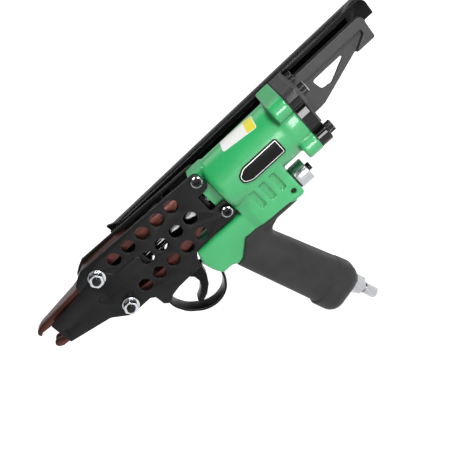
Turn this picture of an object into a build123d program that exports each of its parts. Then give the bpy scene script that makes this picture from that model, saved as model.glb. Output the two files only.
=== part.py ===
from build123d import *
import os

# Pneumatic ring-closing tool, in millimetres.
# X runs along the drive axis from the jaw tips to the tail, Z is up, Y points to the magazine side.
# The origin is on the drive axis, about 3 mm ahead of the jaw tips.

# Driving dimensions: side plates
PLATE_OUTER_Y = 10.5
PLATE_THICK = 2.5
PLATE_INNER_Y = PLATE_OUTER_Y - PLATE_THICK
HOLE_R = 5.15
HOLE_PITCH = 14.2
HOLE_ROWS = [(16.2, 90.2, 5), (0.0, 107.4, 4), (-14.9, 90.6, 5)]
PIVOT_X = 71.5
UPPER_PIVOT_Z = 15.4
LOWER_PIVOT_Z = -18.2
PLATE_SCREWS = [(172.6, 18.2), (172.6, -13.3)]
NOSE_PIN = (60.3, -0.6, 3.5)
FRONT_PIN = (23.6, 0.8, 2.0)

# Driving dimensions: jaws and drive train
STROKE = 26.0
PILOT_R = 5.5
PILOT_TIP_X = 96.0
CONE_X = (141.0, 167.0)
CONE_SLOPE = 0.179
CONE_HALF_W = 7.5
ROD_R = 6.0
ROLLER_X = 140.0
ROLLER_Z = 10.85
ROLLER_R = 5.0
ROLLER_HALF_W = 4.0
ROLLER_PIN_R = 2.5
RUN_CLEAR = 0.05
JAW_HALF_W = 7.4
JAW_TIP_HALF_W = 4.0
JAW_FULL_X = 52.0
PIVOT_SLEEVE_R = 4.6
HUB_R = 7.3

# Driving dimensions: body, cylinder and cap
BARREL_R = 21.8
BARREL_FRONT_X = 177.8
FLANGE_X = (240.2, 252.2)
GASKET_T = 0.8
CAP_REAR_X = 261.5
LOBE_AT = 16.5
LOBE_R = 7.9
FLANGE_R = 22.5
BORE_R = 16.5
LINER_R = 18.5
BORE_FRONT_X = 188.0
PISTON_X = (236.0, 250.0)
BOSS_FRONT_X = 168.5
BOSS_Z = (-20.5, 22.0)
BUSH_R = 9.0
BUSH_X = (178.4, 183.4)
VALVE_Z = -36.3
VALVE_BORE_R = 7.0
BLOCK_HALF_W = 13.0
EXHAUST_HALF_W = 15.4
BLOCK_REAR_X = 222.0
SCREW_R = 2.5
HEAD_R = 4.25
HEAD_T = 5.0
SOCKET_AF = 4.0

# Driving dimensions: grip and air inlet
GRIP_LEAN = 0.300
GRIP_TOP = (155.2, -26.5)
GRIP_LENGTH = 120.0
GRIP_DRIFT = 2.8
GRIP_DEPTH = (32.0, 40.1)
GRIP_WIDTH = (29.6, 32.3)
GRIP_CORNER_R = 13.0
GRIP_END_R = 11.0
GRIP_WALL = 4.0
BOOT_FROM = 97.5
BOOT_LAP = 8.0
BOOT_SWELL = 0.4
BOOT_LIP = 1.8
INLET_FOOT = (199.1, -139.3)
INLET_BORE_R = 5.6
INLET_HEX = 14.0
NIPPLE_R = 4.5
NIPPLE_LENGTH = 12.0

# Driving dimensions: trigger and guard
TRIGGER_PIN = (126.4, -30.2, 2.0)
STOP_PIN = (117.0, -31.0, 1.6)
GUARD_RIVET = (91.1, -36.4, 1.6)
TRIGGER_HALF_W = 4.5
GUARD_HALF_W = 6.0
GUARD_THICK = 2.0
GUARD_SCREW_X = 142.2
KNOB_FRONT_X = 128.6

# Driving dimensions: magazine and brackets
MAG_X = (92.0, 339.0)
MAG_Y = (25.0, 38.0)
MAG_Z = (7.0, 21.6)
MAG_WALL = 1.5
MAG_STOP_X = 322.0
SLOT_Z = (12.0, 18.0)
FIN_SLOT_Y = (26.9, 29.7)
PUSHER_LENGTH = 18.0
PUSHER_GAP = 0.3
SHEET = 2.5


def side_face(points, rounds=()):
    """An outline drawn in X and Z; rounds lists (x, z, radius) for its rounded corners."""
    face = make_face(Polyline(*points, close=True))
    for x, z, radius in rounds:
        corner = min(face.vertices(), key=lambda v: (v.X - x) ** 2 + (v.Y - z) ** 2)
        face = fillet(corner, radius)
    return face


def side_prism(face, y_from, y_to):
    """Push a side outline across the tool, between two Y limits in either order."""
    low, high = sorted((y_from, y_to))
    return extrude(Plane.XZ.offset(-low) * face, amount=low - high)


def cross_pin(x, z, radius, y_from, y_to):
    """A round bar lying across the tool."""
    return side_prism(Pos(x, z) * Circle(radius), y_from, y_to)


def cross_ring(x, z, r_out, r_in, y_from, y_to):
    """A washer or sleeve lying across the tool."""
    return side_prism(Pos(x, z) * (Circle(r_out) - Circle(r_in)), y_from, y_to)


def hexagon(flats):
    """A hexagon given by its width across flats."""
    return RegularPolygon(flats / 2, 6, major_radius=False)


def along(face, x_low, x_high):
    """Push a cross-section, drawn in Y and Z, along the tool."""
    return extrude(Plane.YZ.offset(x_low) * face, amount=x_high - x_low)


def shaft(radius, x_low, x_high, y=0.0, z=0.0):
    """A round bar lying along the tool."""
    return along(Pos(y, z) * Circle(radius), x_low, x_high)


def tube(r_out, r_in, x_low, x_high, y=0.0, z=0.0):
    """A round tube lying along the tool."""
    return along(Pos(y, z) * (Circle(r_out) - Circle(r_in)), x_low, x_high)


def block(x, y, z):
    """A box given by its low and high limits on each axis."""
    centre = Pos((x[0] + x[1]) / 2, (y[0] + y[1]) / 2, (z[0] + z[1]) / 2)
    return centre * Box(x[1] - x[0], y[1] - y[0], z[1] - z[0])


def both(y):
    """A pair of limits the same distance either side of the middle plane."""
    return (-y, y)


def group(solids):
    """Separate solids that share one node."""
    return Compound(children=list(solids))


parts = {}

# Side plates: cut steel, one each side, with three rows of lightening holes and a shallow seam
PLATE_OUTLINE = [
    (18.8, 11.4), (53.5, 14.8), (55.6, 21.0), (61.2, 24.2), (67.0, 26.7), (176.4, 22.6), (176.4, 7.8),
    (164.4, 7.6), (164.0, -6.6), (176.8, -6.8), (176.8, -21.9), (143.0, -22.1), (134.6, -23.0),
    (131.2, -28.2), (128.8, -34.0), (119.0, -33.8), (105.8, -34.4), (98.0, -36.0), (91.6, -39.8),
    (87.9, -36.4), (87.7, -28.0), (84.6, -25.5), (68.6, -25.5), (63.6, -24.6), (52.9, -15.8), (17.8, -8.4),
]
PLATE_ROUNDS = [
    (176.4, 22.6, 4.5), (176.4, 7.8, 4.0), (176.8, -6.8, 3.5), (176.8, -21.9, 5.0), (61.2, 24.2, 6.0),
    (128.8, -34.0, 3.0), (91.6, -39.8, 2.5), (84.6, -25.5, 2.0), (53.5, 14.8, 1.5), (55.6, 21.0, 3.0),
    (52.9, -15.8, 6.0), (18.8, 11.4, 1.0), (17.8, -8.4, 1.0), (164.4, 7.6, 1.0), (164.0, -6.6, 1.0),
    (134.6, -23.0, 3.0), (98.0, -36.0, 6.0),
]
SEAM = [(53.5, 15.2), (62.4, 16.2), (64.6, 17.6), (78.6, 12.8), (81.7, 8.0), (101.3, 7.1), (104.9, 4.3)]
SEAM_W = 0.8
SEAM_DEPTH = 0.7
BOLT_R = 3.0
BOLT_HOLE_R = 3.1
SCREW_HOLE_R = 2.7
plate_holes = [NOSE_PIN, FRONT_PIN, TRIGGER_PIN, STOP_PIN, GUARD_RIVET]
plate_holes += [(PIVOT_X, UPPER_PIVOT_Z, BOLT_HOLE_R), (PIVOT_X, LOWER_PIVOT_Z, BOLT_HOLE_R)]
plate_holes += [(x, z, SCREW_HOLE_R) for x, z in PLATE_SCREWS]
for row_z, first_x, count in HOLE_ROWS:
    plate_holes += [(first_x + k * HOLE_PITCH, row_z, HOLE_R) for k in range(count)]


def side_plate(side):
    """One side plate; side is -1 for the left and 1 for the right."""
    face = side_face(PLATE_OUTLINE, PLATE_ROUNDS)
    face -= [Pos(x, z) * Circle(radius) for x, z, radius in plate_holes]
    plate = side_prism(face, side * PLATE_INNER_Y, side * PLATE_OUTER_Y)
    seam = trace(Polyline(*SEAM), line_width=SEAM_W)
    return plate - side_prism(seam, side * (PLATE_OUTER_Y - SEAM_DEPTH), side * (PLATE_OUTER_Y + 1))


parts["left_side_plate"] = side_plate(-1)
parts["right_side_plate"] = side_plate(1)

# Nose block: black steel filler between the plates, bored at the rear to guide the pilot
NOSE_OUTLINE = [
    (20.9, -1.6), (20.9, 3.2), (26.0, 3.5), (62.0, 3.5), (62.0, 7.4), (106.0, 7.4),
    (106.0, -7.4), (62.0, -7.4), (62.0, -3.5), (26.0, -3.5),
]
NOSE_BORE_X = PILOT_TIP_X - STROKE - 0.5
PIN_RECESS = 0.8
nose_block = side_prism(side_face(NOSE_OUTLINE), *both(PLATE_INNER_Y))
nose_block -= shaft(PILOT_R + RUN_CLEAR, NOSE_BORE_X, 107.0)
nose_block -= [cross_pin(*pin, *both(PLATE_INNER_Y + 1)) for pin in (NOSE_PIN, FRONT_PIN)]
parts["nose_block"] = nose_block
parts["nose_block_pins"] = group(
    cross_pin(*pin, *both(PLATE_OUTER_Y - PIN_RECESS)) for pin in (NOSE_PIN, FRONT_PIN)
)

# Jaws: two steel levers, hooked at the nose and forked round a roller at the rear
UPPER_JAW = [
    (4.2, 8.2), (3.2, 9.6), (3.4, 11.4), (5.4, 13.4), (9.5, 14.6), (52.0, 17.6), (58.0, 21.5), (66.0, 24.8),
    (99.0, 24.2), (111.0, 19.6), (150.0, 18.6), (152.5, 16.0), (152.5, 9.2), (147.0, 7.4), (134.0, 7.4),
    (120.0, 9.4), (110.0, 13.8), (84.0, 13.8), (78.5, 9.2), (64.0, 8.8), (50.0, 9.4), (24.0, 9.0),
    (11.0, 9.5), (7.2, 9.7), (5.6, 8.8),
]
LOWER_JAW = [
    (8.4, -1.8), (6.4, -2.4), (4.8, -4.6), (5.2, -7.2), (8.8, -9.2), (18.0, -9.6), (52.0, -16.4),
    (63.0, -24.2), (99.0, -24.0), (111.0, -20.4), (128.0, -18.8), (140.0, -17.2), (152.5, -13.2),
    (152.5, -9.2), (147.0, -7.4), (134.0, -7.4), (120.0, -9.4), (110.0, -15.6), (84.0, -15.6),
    (79.0, -11.6), (64.0, -10.9), (50.0, -8.6), (19.0, -8.2), (12.0, -2.6),
]
JAW_PLAN = [
    (0.0, -JAW_TIP_HALF_W), (JAW_FULL_X, -JAW_HALF_W), (160.0, -JAW_HALF_W),
    (160.0, JAW_HALF_W), (JAW_FULL_X, JAW_HALF_W), (0.0, JAW_TIP_HALF_W),
]
FORK_HALF_W = ROLLER_HALF_W + 0.3
FORK_R = ROLLER_R + 0.7
GROOVE_W = 2.2
GROOVE_LENGTH = 13.0
GROOVE_Z = (10.6, -3.4)


def jaw(outline, pivot_z, up):
    """One jaw lever; up is 1 for the upper jaw and -1 for the lower."""
    roller_z = up * ROLLER_Z
    face = side_face(outline) + Pos(PIVOT_X, pivot_z) * Circle(HUB_R)
    lever = side_prism(face, *both(JAW_HALF_W))
    lever &= extrude(Plane.XY.offset(-40) * make_face(Polyline(*JAW_PLAN, close=True)), amount=80)
    lever -= cross_pin(PIVOT_X, pivot_z, PIVOT_SLEEVE_R + RUN_CLEAR, *both(9))
    lever -= cross_pin(ROLLER_X, roller_z, ROLLER_PIN_R, *both(9))
    fork = Pos(ROLLER_X, roller_z) * Circle(FORK_R)
    fork += Pos(ROLLER_X, roller_z - up * FORK_R) * Rectangle(2 * FORK_R, 2 * FORK_R)
    lever -= side_prism(fork, *both(FORK_HALF_W))
    groove = sorted((GROOVE_Z[0] if up > 0 else GROOVE_Z[1], 2.0))
    return lever - block((0.0, GROOVE_LENGTH), both(GROOVE_W / 2), groove)


parts["upper_jaw"] = jaw(UPPER_JAW, UPPER_PIVOT_Z, 1)
parts["lower_jaw"] = jaw(LOWER_JAW, LOWER_PIVOT_Z, -1)
for name, up in (("upper", 1), ("lower", -1)):
    roller_at = (ROLLER_X, up * ROLLER_Z)
    roller_bore_r = ROLLER_PIN_R + RUN_CLEAR
    parts[name + "_roller"] = cross_ring(*roller_at, ROLLER_R, roller_bore_r, *both(ROLLER_HALF_W))
    parts[name + "_roller_pin"] = cross_pin(*roller_at, ROLLER_PIN_R, *both(JAW_HALF_W))

# Jaw springs: two fine tension springs that draw the lever ends together beside the pilot
JAW_SPRING_X = 114.5
JAW_SPRING_Y = 6.7
JAW_SPRING_R = 0.7
JAW_SPRING_Z = 10.4
parts["jaw_springs"] = group(
    Pos(JAW_SPRING_X, y, 0) * Cylinder(JAW_SPRING_R, 2 * JAW_SPRING_Z) for y in both(JAW_SPRING_Y)
)

# Pivot hardware: sleeves, bolts, washers and nuts for the two jaw pivots
PIVOTS = [(PIVOT_X, UPPER_PIVOT_Z), (PIVOT_X, LOWER_PIVOT_Z)]
WASHER_R = 6.5
WASHER_T = 1.5
NUT_AF = 10.0
NUT_T = 5.0
NUT_CHAMFER = 0.5
BOLT_HEAD_T = 4.0
BOLT_END = 1.6
washer_y = PLATE_OUTER_Y + WASHER_T
nut_y = washer_y + NUT_T


def pivot_bolt(x, z):
    """A hexagon bolt from the right, with its end standing out of the nut on the left."""
    shank = cross_pin(x, z, BOLT_R, -nut_y - BOLT_END, washer_y)
    return shank + side_prism(Pos(x, z) * hexagon(NUT_AF), washer_y, washer_y + BOLT_HEAD_T)


def pivot_nut(x, z):
    """A hexagon nut with its outer corners turned off."""
    nut = side_prism(Pos(x, z) * hexagon(NUT_AF), -nut_y, -washer_y)
    bevel = Pos(x, -(washer_y + nut_y) / 2, z) * Rot(90, 0, 0)
    nut &= bevel * Cone(NUT_AF / 2 + NUT_T, NUT_AF / 2 + NUT_CHAMFER / 2, NUT_T)
    return nut - cross_pin(x, z, BOLT_R, -nut_y - 1, 0)


parts["pivot_sleeves"] = group(
    cross_ring(x, z, PIVOT_SLEEVE_R, BOLT_R, *both(PLATE_INNER_Y)) for x, z in PIVOTS
)
parts["pivot_bolts"] = group(pivot_bolt(x, z) for x, z in PIVOTS)
parts["pivot_nuts"] = group(pivot_nut(x, z) for x, z in PIVOTS)
parts["pivot_washers"] = group(
    cross_ring(x, z, WASHER_R, BOLT_R, side * PLATE_OUTER_Y, side * washer_y)
    for x, z in PIVOTS
    for side in (-1, 1)
)

# Drive train: chromed pilot and cone on the piston rod, with the piston and its seal
CONE_SOCKET_X = 152.0
SEAL_X = (241.0, 244.6)
SEAL_DEPTH = 2.6
piston_r = BORE_R - RUN_CLEAR
cone_r = PILOT_R + CONE_SLOPE * (CONE_X[1] - CONE_X[0])
cone_length = CONE_X[1] - CONE_X[0]
cone = Pos((CONE_X[0] + CONE_X[1]) / 2, 0, 0) * Rot(0, 90, 0) * Cone(PILOT_R, cone_r, cone_length)
cone &= block((CONE_X[0] - 1, CONE_X[1] + 1), both(CONE_HALF_W), both(cone_r + 1))
pilot = chamfer(shaft(PILOT_R, PILOT_TIP_X, CONE_X[0]).edges().group_by(Axis.X)[0], 1.0)
parts["drive_cone"] = pilot + cone - shaft(ROD_R, CONE_SOCKET_X, CONE_X[1] + 1)
parts["piston_rod"] = shaft(ROD_R, CONE_SOCKET_X, PISTON_X[1] - 2)
piston = shaft(piston_r, *PISTON_X) - tube(piston_r + 1, piston_r - SEAL_DEPTH, *SEAL_X)
parts["piston"] = piston - shaft(ROD_R, PISTON_X[0] - 1, PISTON_X[1] - 2)
parts["piston_seal"] = tube(BORE_R - RUN_CLEAR / 2, piston_r - SEAL_DEPTH, *SEAL_X)

# Cylinder: pressed liner, front bumper, return spring, and the rod's bush and seal
BUMPER_T = 6.0
SPRING_R = (11.0, 13.0)
bumper_end = BORE_FRONT_X + BUMPER_T
parts["cylinder_liner"] = tube(LINER_R, BORE_R, BORE_FRONT_X, FLANGE_X[1])
parts["front_bumper"] = tube(BORE_R - 0.3, ROD_R + 0.8, BORE_FRONT_X, bumper_end)
parts["return_spring"] = tube(SPRING_R[1], SPRING_R[0], bumper_end, PISTON_X[0])
parts["rod_bush"] = tube(BUSH_R, ROD_R + RUN_CLEAR, *BUSH_X)
parts["rod_seal"] = tube(BUSH_R, ROD_R + RUN_CLEAR, BUSH_X[1], BORE_FRONT_X)

# Flange and cap share one outline: a disc with a lobe round each screw, flat across the top between two lobes
FLAT_DIP = 0.3
CAP_SCREWS = [(y, z) for y in both(LOBE_AT) for z in both(LOBE_AT)]


def lobed(inset):
    """The flange outline, drawn in Y and Z."""
    face = Circle(FLANGE_R - inset)
    for y, z in CAP_SCREWS:
        face += Pos(y, z) * Circle(LOBE_R - inset)
    top_z = LOBE_AT + LOBE_R - inset - FLAT_DIP
    return face + Pos(0, top_z / 2) * Rectangle(2 * LOBE_AT, top_z)


# Handle: a bar of rounded sections, square to its lean, that swells downwards to a rounded end
lean = Vector(GRIP_LEAN, 0, -1).normalized()
grip_plane = Plane((GRIP_TOP[0], 0, GRIP_TOP[1]), x_dir=(1, 0, GRIP_LEAN), z_dir=lean)


def grip_face(down, inset, lip):
    """A section of the handle, inset all round, with its front drawn out by a lip."""
    share = down / GRIP_LENGTH
    depth = GRIP_DEPTH[0] + share * (GRIP_DEPTH[1] - GRIP_DEPTH[0]) - 2 * inset + lip
    width = GRIP_WIDTH[0] + share * (GRIP_WIDTH[1] - GRIP_WIDTH[0]) - 2 * inset
    outline = RectangleRounded(depth, width, GRIP_CORNER_R - inset)
    return grip_plane.offset(down) * Pos(share * GRIP_DRIFT - lip / 2, 0) * outline


def handle(down_from, down_to, inset=0.0, lip=0.0):
    """A length of the handle between two sections."""
    return loft([grip_face(down_from, inset, lip), grip_face(down_to, inset, lip)])


def rounded_end(bar, radius):
    """Round the lower end of a length of the handle."""
    end = bar.faces().sort_by(Axis(grip_plane.origin, lean))[-1]
    return fillet(end.edges(), radius)


# Body: painted casting with the barrel, flange, front boss, valve block and handle core
BLOCK_OUTLINE = [
    (134.9, -23.2), (178.0, -23.2), (178.0, -8.0), (BLOCK_REAR_X, -8.0), (BLOCK_REAR_X, -46.5),
    (180.0, -49.5), (150.0, -52.2), (146.0, -49.6), (137.0, -49.6), (133.8, -43.0), (131.4, -33.1),
]
BLOCK_ROUNDS = [(131.4, -33.1, 10.0), (134.9, -23.2, 1.5), (137.0, -49.6, 2.0), (BLOCK_REAR_X, -46.5, 3.0)]
BLOCK_EDGE_R = 2.0
EXHAUST_FRONT_X = 178.0
EXHAUST_HALF = [(EXHAUST_FRONT_X, BLOCK_HALF_W), (202.0, BARREL_R), (BLOCK_REAR_X, BARREL_R)]
EXHAUST_Z = (-42.5, -4.0)
EXHAUST_EDGE_R = 2.2
FLARE_Z = -24.0
FLARE_SLOPE = 0.28
BARREL_EDGE_R = 5.0
FLANGE_EDGE_R = 1.5
PARTING = [
    (120.0, -80.0), (149.6, -52.2), (155.2, -50.8), (167.8, -39.2), (208.6, -40.7), (214.0, -43.8),
    (226.0, -43.8), (226.0, -170.0), (120.0, -170.0),
]
CORE_X = (150.0, 212.0)
CORE_R = 10.2
VENT_X = [194.0, 203.4, 212.6]
VENT_HALF_W = 2.6
VENT_Z = (-29.5, -13.3)
VENT_DEPTH = 1.4
VENT_OVER = 3.0
LOCK_PIN = (216.4, -35.8, 2.1)
LOCK_PIN_DEPTH = 2.0
PASSAGE_UP = 96.0
COLLAR_R = 7.6
COLLAR_LENGTH = 14.0
inlet_plane = Plane((INLET_FOOT[0], 0, INLET_FOOT[1]), z_dir=lean)
air_passage = extrude(inlet_plane.offset(-PASSAGE_UP) * Circle(INLET_BORE_R), PASSAGE_UP)
inlet_collar = extrude(inlet_plane.offset(-COLLAR_LENGTH) * Circle(COLLAR_R), COLLAR_LENGTH)
below_parting = side_prism(side_face(PARTING), *both(40))
core = rounded_end(handle(0.0, GRIP_LENGTH - GRIP_WALL, GRIP_WALL), GRIP_END_R - GRIP_WALL)
core += [inlet_collar, shaft(CORE_R, *CORE_X, 0, VALVE_Z)]


def flared(out, z_low, z_high):
    """A section of the exhaust block, drawn in Y and Z: upright sides that flare out to meet the barrel."""
    half = EXHAUST_HALF_W + out
    side = [(half, z_low), (half, FLARE_Z), (half + FLARE_SLOPE * (z_high - FLARE_Z), z_high)]
    return make_face(Polyline(*side, *[(-y, z) for y, z in reversed(side)], close=True))


barrel = shaft(BARREL_R, BARREL_FRONT_X, FLANGE_X[0])
barrel = fillet(barrel.edges().group_by(Axis.X)[0], BARREL_EDGE_R)
flange = fillet(along(lobed(0.0), *FLANGE_X).edges().group_by(Axis.X)[0], FLANGE_EDGE_R)
valve_block = side_prism(side_face(BLOCK_OUTLINE, BLOCK_ROUNDS), *both(BLOCK_HALF_W))
valve_block = fillet(valve_block.faces().sort_by(Axis.Y)[0].edges(), BLOCK_EDGE_R)
valve_block = fillet(valve_block.faces().sort_by(Axis.Y)[-1].edges(), BLOCK_EDGE_R)
exhaust_plan = EXHAUST_HALF + [(x, -y) for x, y in reversed(EXHAUST_HALF)]
exhaust_floor = Plane.XY.offset(EXHAUST_Z[0]) * make_face(Polyline(*exhaust_plan, close=True))
exhaust = extrude(exhaust_floor, EXHAUST_Z[1] - EXHAUST_Z[0])
exhaust &= along(flared(0.0, *EXHAUST_Z), EXHAUST_FRONT_X, BLOCK_REAR_X)
exhaust = fillet(exhaust.edges().group_by(Axis.X)[-1], EXHAUST_EDGE_R)
body = barrel + flange + block((BOSS_FRONT_X, 182.0), both(PLATE_INNER_Y), BOSS_Z) + valve_block + exhaust
for x in VENT_X:
    vent = along(flared(VENT_OVER, *VENT_Z), x - VENT_HALF_W, x + VENT_HALF_W)
    body -= vent - along(flared(-VENT_DEPTH, *VENT_Z), x - VENT_HALF_W, x + VENT_HALF_W)
body = (body - below_parting) + (core & below_parting)
body -= shaft(LINER_R, BORE_FRONT_X, FLANGE_X[1] + 1)
body -= shaft(BUSH_R, BUSH_X[0], BORE_FRONT_X + 1)
body -= shaft(ROD_R + 0.4, BOSS_FRONT_X - 1, BUSH_X[0] + 1)
body -= shaft(VALVE_BORE_R, 120.0, BLOCK_REAR_X + 1, 0, VALVE_Z)
body -= air_passage
body -= [shaft(SCREW_R, FLANGE_X[0] + 1, FLANGE_X[1] + 1, y, z) for y, z in CAP_SCREWS]
body -= [cross_pin(x, z, SCREW_R, *both(PLATE_INNER_Y + 1)) for x, z in PLATE_SCREWS]
body -= cross_pin(*LOCK_PIN, -EXHAUST_HALF_W - 3, -VALVE_BORE_R)
GUARD_SEAT_Z = -49.6
GUARD_SCREW_R = 2.0
GUARD_SCREW_IN = 5.5
body -= Pos(GUARD_SCREW_X, 0, GUARD_SEAT_Z) * Cylinder(GUARD_SCREW_R, 2 * GUARD_SCREW_IN)
parts["body_casting"] = body
parts["lock_pin"] = cross_pin(*LOCK_PIN, -EXHAUST_HALF_W + LOCK_PIN_DEPTH, -VALVE_BORE_R - 0.6)

# Grip sleeve: rubber moulded over the handle core, with a thicker boot and a round tongue under the valve
TONGUE_X = (160.0, 214.0)
TONGUE_Z = -35.4
TONGUE_R = 14.0
TONGUE_EDGE_R = 2.0
SLEEVE_GAP = 0.2
tongue = shaft(TONGUE_R, *TONGUE_X, 0, TONGUE_Z)
tongue = fillet(tongue.edges().group_by(Axis.X)[-1], TONGUE_EDGE_R)
boot = rounded_end(handle(BOOT_FROM, GRIP_LENGTH, -BOOT_SWELL, BOOT_LIP), GRIP_END_R)
sleeve = (handle(0.0, BOOT_FROM + BOOT_LAP) + boot + tongue) & below_parting
sleeve -= shaft(VALVE_BORE_R + SLEEVE_GAP, CORE_X[0], BLOCK_REAR_X, 0, VALVE_Z)
parts["grip_sleeve"] = sleeve - core

# Air inlet: plated plug screwed into the handle along its lean, bored through
HEX_T = 8.8
THREAD_LENGTH = 16.0
NECK_R = 3.6
NECK_LENGTH = 3.5
PLUG_BORE_R = 2.4
inlet = extrude(inlet_plane * hexagon(INLET_HEX), HEX_T)
inlet += extrude(inlet_plane.offset(-THREAD_LENGTH) * Circle(INLET_BORE_R), THREAD_LENGTH)
inlet += extrude(inlet_plane.offset(HEX_T) * Circle(NECK_R), NECK_LENGTH)
inlet += extrude(inlet_plane.offset(HEX_T + NECK_LENGTH) * Circle(NIPPLE_R), NIPPLE_LENGTH)
inlet_bore = extrude(inlet_plane.offset(-THREAD_LENGTH - 1) * Circle(PLUG_BORE_R), 60)
parts["air_inlet_plug"] = inlet - inlet_bore

# Cap, gasket and socket screws; the upper two also clamp the rear bracket, whose foot takes the place of the
# cap's top, and the one at the lower right is sunk in the cap under the bracket's base
CAP_HOLE_R = SCREW_R + 0.1
CAP_INSET = 0.5
CAP_EDGE_R = 1.2
FOOT_Z = (17.2, 30.0)
FOOT_GAP = 0.2
SINK_GAP = 0.2
cap_front = FLANGE_X[1] + GASKET_T
cap_holes = [shaft(CAP_HOLE_R, FLANGE_X[1] - 1, CAP_REAR_X + 1, y, z) for y, z in CAP_SCREWS]
gasket = along(lobed(CAP_INSET), FLANGE_X[1], cap_front)
parts["cap_gasket"] = gasket - shaft(BORE_R, FLANGE_X[1] - 1, cap_front + 1) - cap_holes
cap = fillet(along(lobed(CAP_INSET), cap_front, CAP_REAR_X).edges().group_by(Axis.X)[-1], CAP_EDGE_R)
cap -= block((cap_front - 1, CAP_REAR_X + 1), both(30), (FOOT_Z[0] - FOOT_GAP, FOOT_Z[1]))
cap -= shaft(HEAD_R + SINK_GAP, CAP_REAR_X - HEAD_T, CAP_REAR_X + 1, LOBE_AT, -LOBE_AT)
parts["cylinder_cap"] = cap - cap_holes


def cap_screw(y, z):
    """A socket-head screw; the upper ones sit on the bracket, the lower right one is sunk in the cap."""
    seat = CAP_REAR_X
    if z > 0:
        seat += SHEET
    elif y > 0:
        seat -= HEAD_T
    screw = shaft(SCREW_R, FLANGE_X[0] + 1, seat, y, z) + shaft(HEAD_R, seat, seat + HEAD_T, y, z)
    return screw - along(Pos(y, z) * hexagon(SOCKET_AF), seat + HEAD_T / 2, seat + HEAD_T + 1)


def plate_screw(x, z):
    """A socket-head screw from the left, through both side plates and the body's boss."""
    top = -PLATE_OUTER_Y - HEAD_T
    screw = cross_pin(x, z, SCREW_R, *both(PLATE_OUTER_Y)) + cross_pin(x, z, HEAD_R, top, -PLATE_OUTER_Y)
    return screw - side_prism(Pos(x, z) * hexagon(SOCKET_AF), top - 1, top + HEAD_T / 2)


parts["cap_screws"] = group(cap_screw(y, z) for y, z in CAP_SCREWS)
parts["plate_screws"] = group(plate_screw(x, z) for x, z in PLATE_SCREWS)

# Trigger: a hooked finger lever with a pad that meets the valve stem, on a cross pin with a stop pin
TRIGGER_HOOK = [
    (122.6, -27.4), (126.4, -26.2), (130.2, -29.0), (128.0, -33.2), (127.0, -34.4), (127.0, -39.0),
    (125.4, -45.0), (120.8, -52.2), (114.0, -57.8), (107.6, -60.4), (104.4, -59.4), (105.2, -56.4),
    (110.6, -53.6), (115.2, -49.4), (117.6, -44.9), (117.4, -40.0), (114.6, -36.4), (114.4, -34.6),
    (120.0, -34.6),
]
TRIGGER_SPRING_R = (3.6, TRIGGER_PIN[2] + 0.3)
TRIGGER_SPRING_Y = (TRIGGER_HALF_W + 0.4, PLATE_INNER_Y - 0.4)
NUB_R = 1.2
STOP_SLOT_R = STOP_PIN[2] + 1.9
PAD_GAP = 0.3
hook = side_face(TRIGGER_HOOK, [(104.4, -59.4, 1.2), (105.2, -56.4, 1.0)])
hook += Pos(KNOB_FRONT_X - PAD_GAP - NUB_R, VALVE_Z) * Circle(NUB_R)
trigger = side_prism(hook, *both(TRIGGER_HALF_W))
trigger -= cross_pin(TRIGGER_PIN[0], TRIGGER_PIN[1], TRIGGER_PIN[2] + RUN_CLEAR, *both(9))
trigger -= cross_pin(STOP_PIN[0], STOP_PIN[1], STOP_SLOT_R, *both(9))
parts["trigger"] = trigger
parts["trigger_pin"] = cross_pin(*TRIGGER_PIN, *both(PLATE_OUTER_Y + 0.4))
parts["trigger_stop_pin"] = cross_pin(*STOP_PIN, *both(PLATE_OUTER_Y + 0.3))
parts["trigger_spring"] = cross_ring(*TRIGGER_PIN[:2], *TRIGGER_SPRING_R, *TRIGGER_SPRING_Y)

# Trigger guard: a bent strap from the plates' lower corner round to a tab under the body
GUARD_PATH = [
    (91.1, -36.4), (89.6, -46.0), (94.0, -57.0), (104.0, -66.6), (116.0, -69.2), (127.0, -65.0),
    (133.4, -56.6), (135.4, -50.6), (146.0, -50.6),
]
GUARD_BENDS = [16.0, 18.0, 20.0, 20.0, 18.0, 20.0, 2.2]
LUG_R = 3.0
GUARD_HEAD_R = 3.4
GUARD_HEAD_T = 2.2
guard_strap = trace(FilletPolyline(*GUARD_PATH, radius=GUARD_BENDS), line_width=GUARD_THICK)
guard = side_prism(guard_strap + Pos(*GUARD_RIVET[:2]) * Circle(LUG_R), *both(GUARD_HALF_W))
guard -= cross_pin(*GUARD_RIVET, *both(9))
parts["trigger_guard"] = guard - Pos(GUARD_SCREW_X, 0, GUARD_SEAT_Z) * Cylinder(GUARD_SCREW_R + 0.2, 8)
parts["guard_rivet"] = cross_pin(*GUARD_RIVET, *both(PLATE_OUTER_Y + 0.3))
guard_head_z = GUARD_SEAT_Z - GUARD_THICK
guard_shank = Pos(GUARD_SCREW_X, 0, (guard_head_z + GUARD_SEAT_Z + GUARD_SCREW_IN) / 2)
guard_screw = guard_shank * Cylinder(GUARD_SCREW_R, GUARD_THICK + GUARD_SCREW_IN)
guard_head = Pos(GUARD_SCREW_X, 0, guard_head_z - GUARD_HEAD_T / 2)
parts["guard_screw"] = guard_screw + guard_head * Cylinder(GUARD_HEAD_R, GUARD_HEAD_T)

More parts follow.
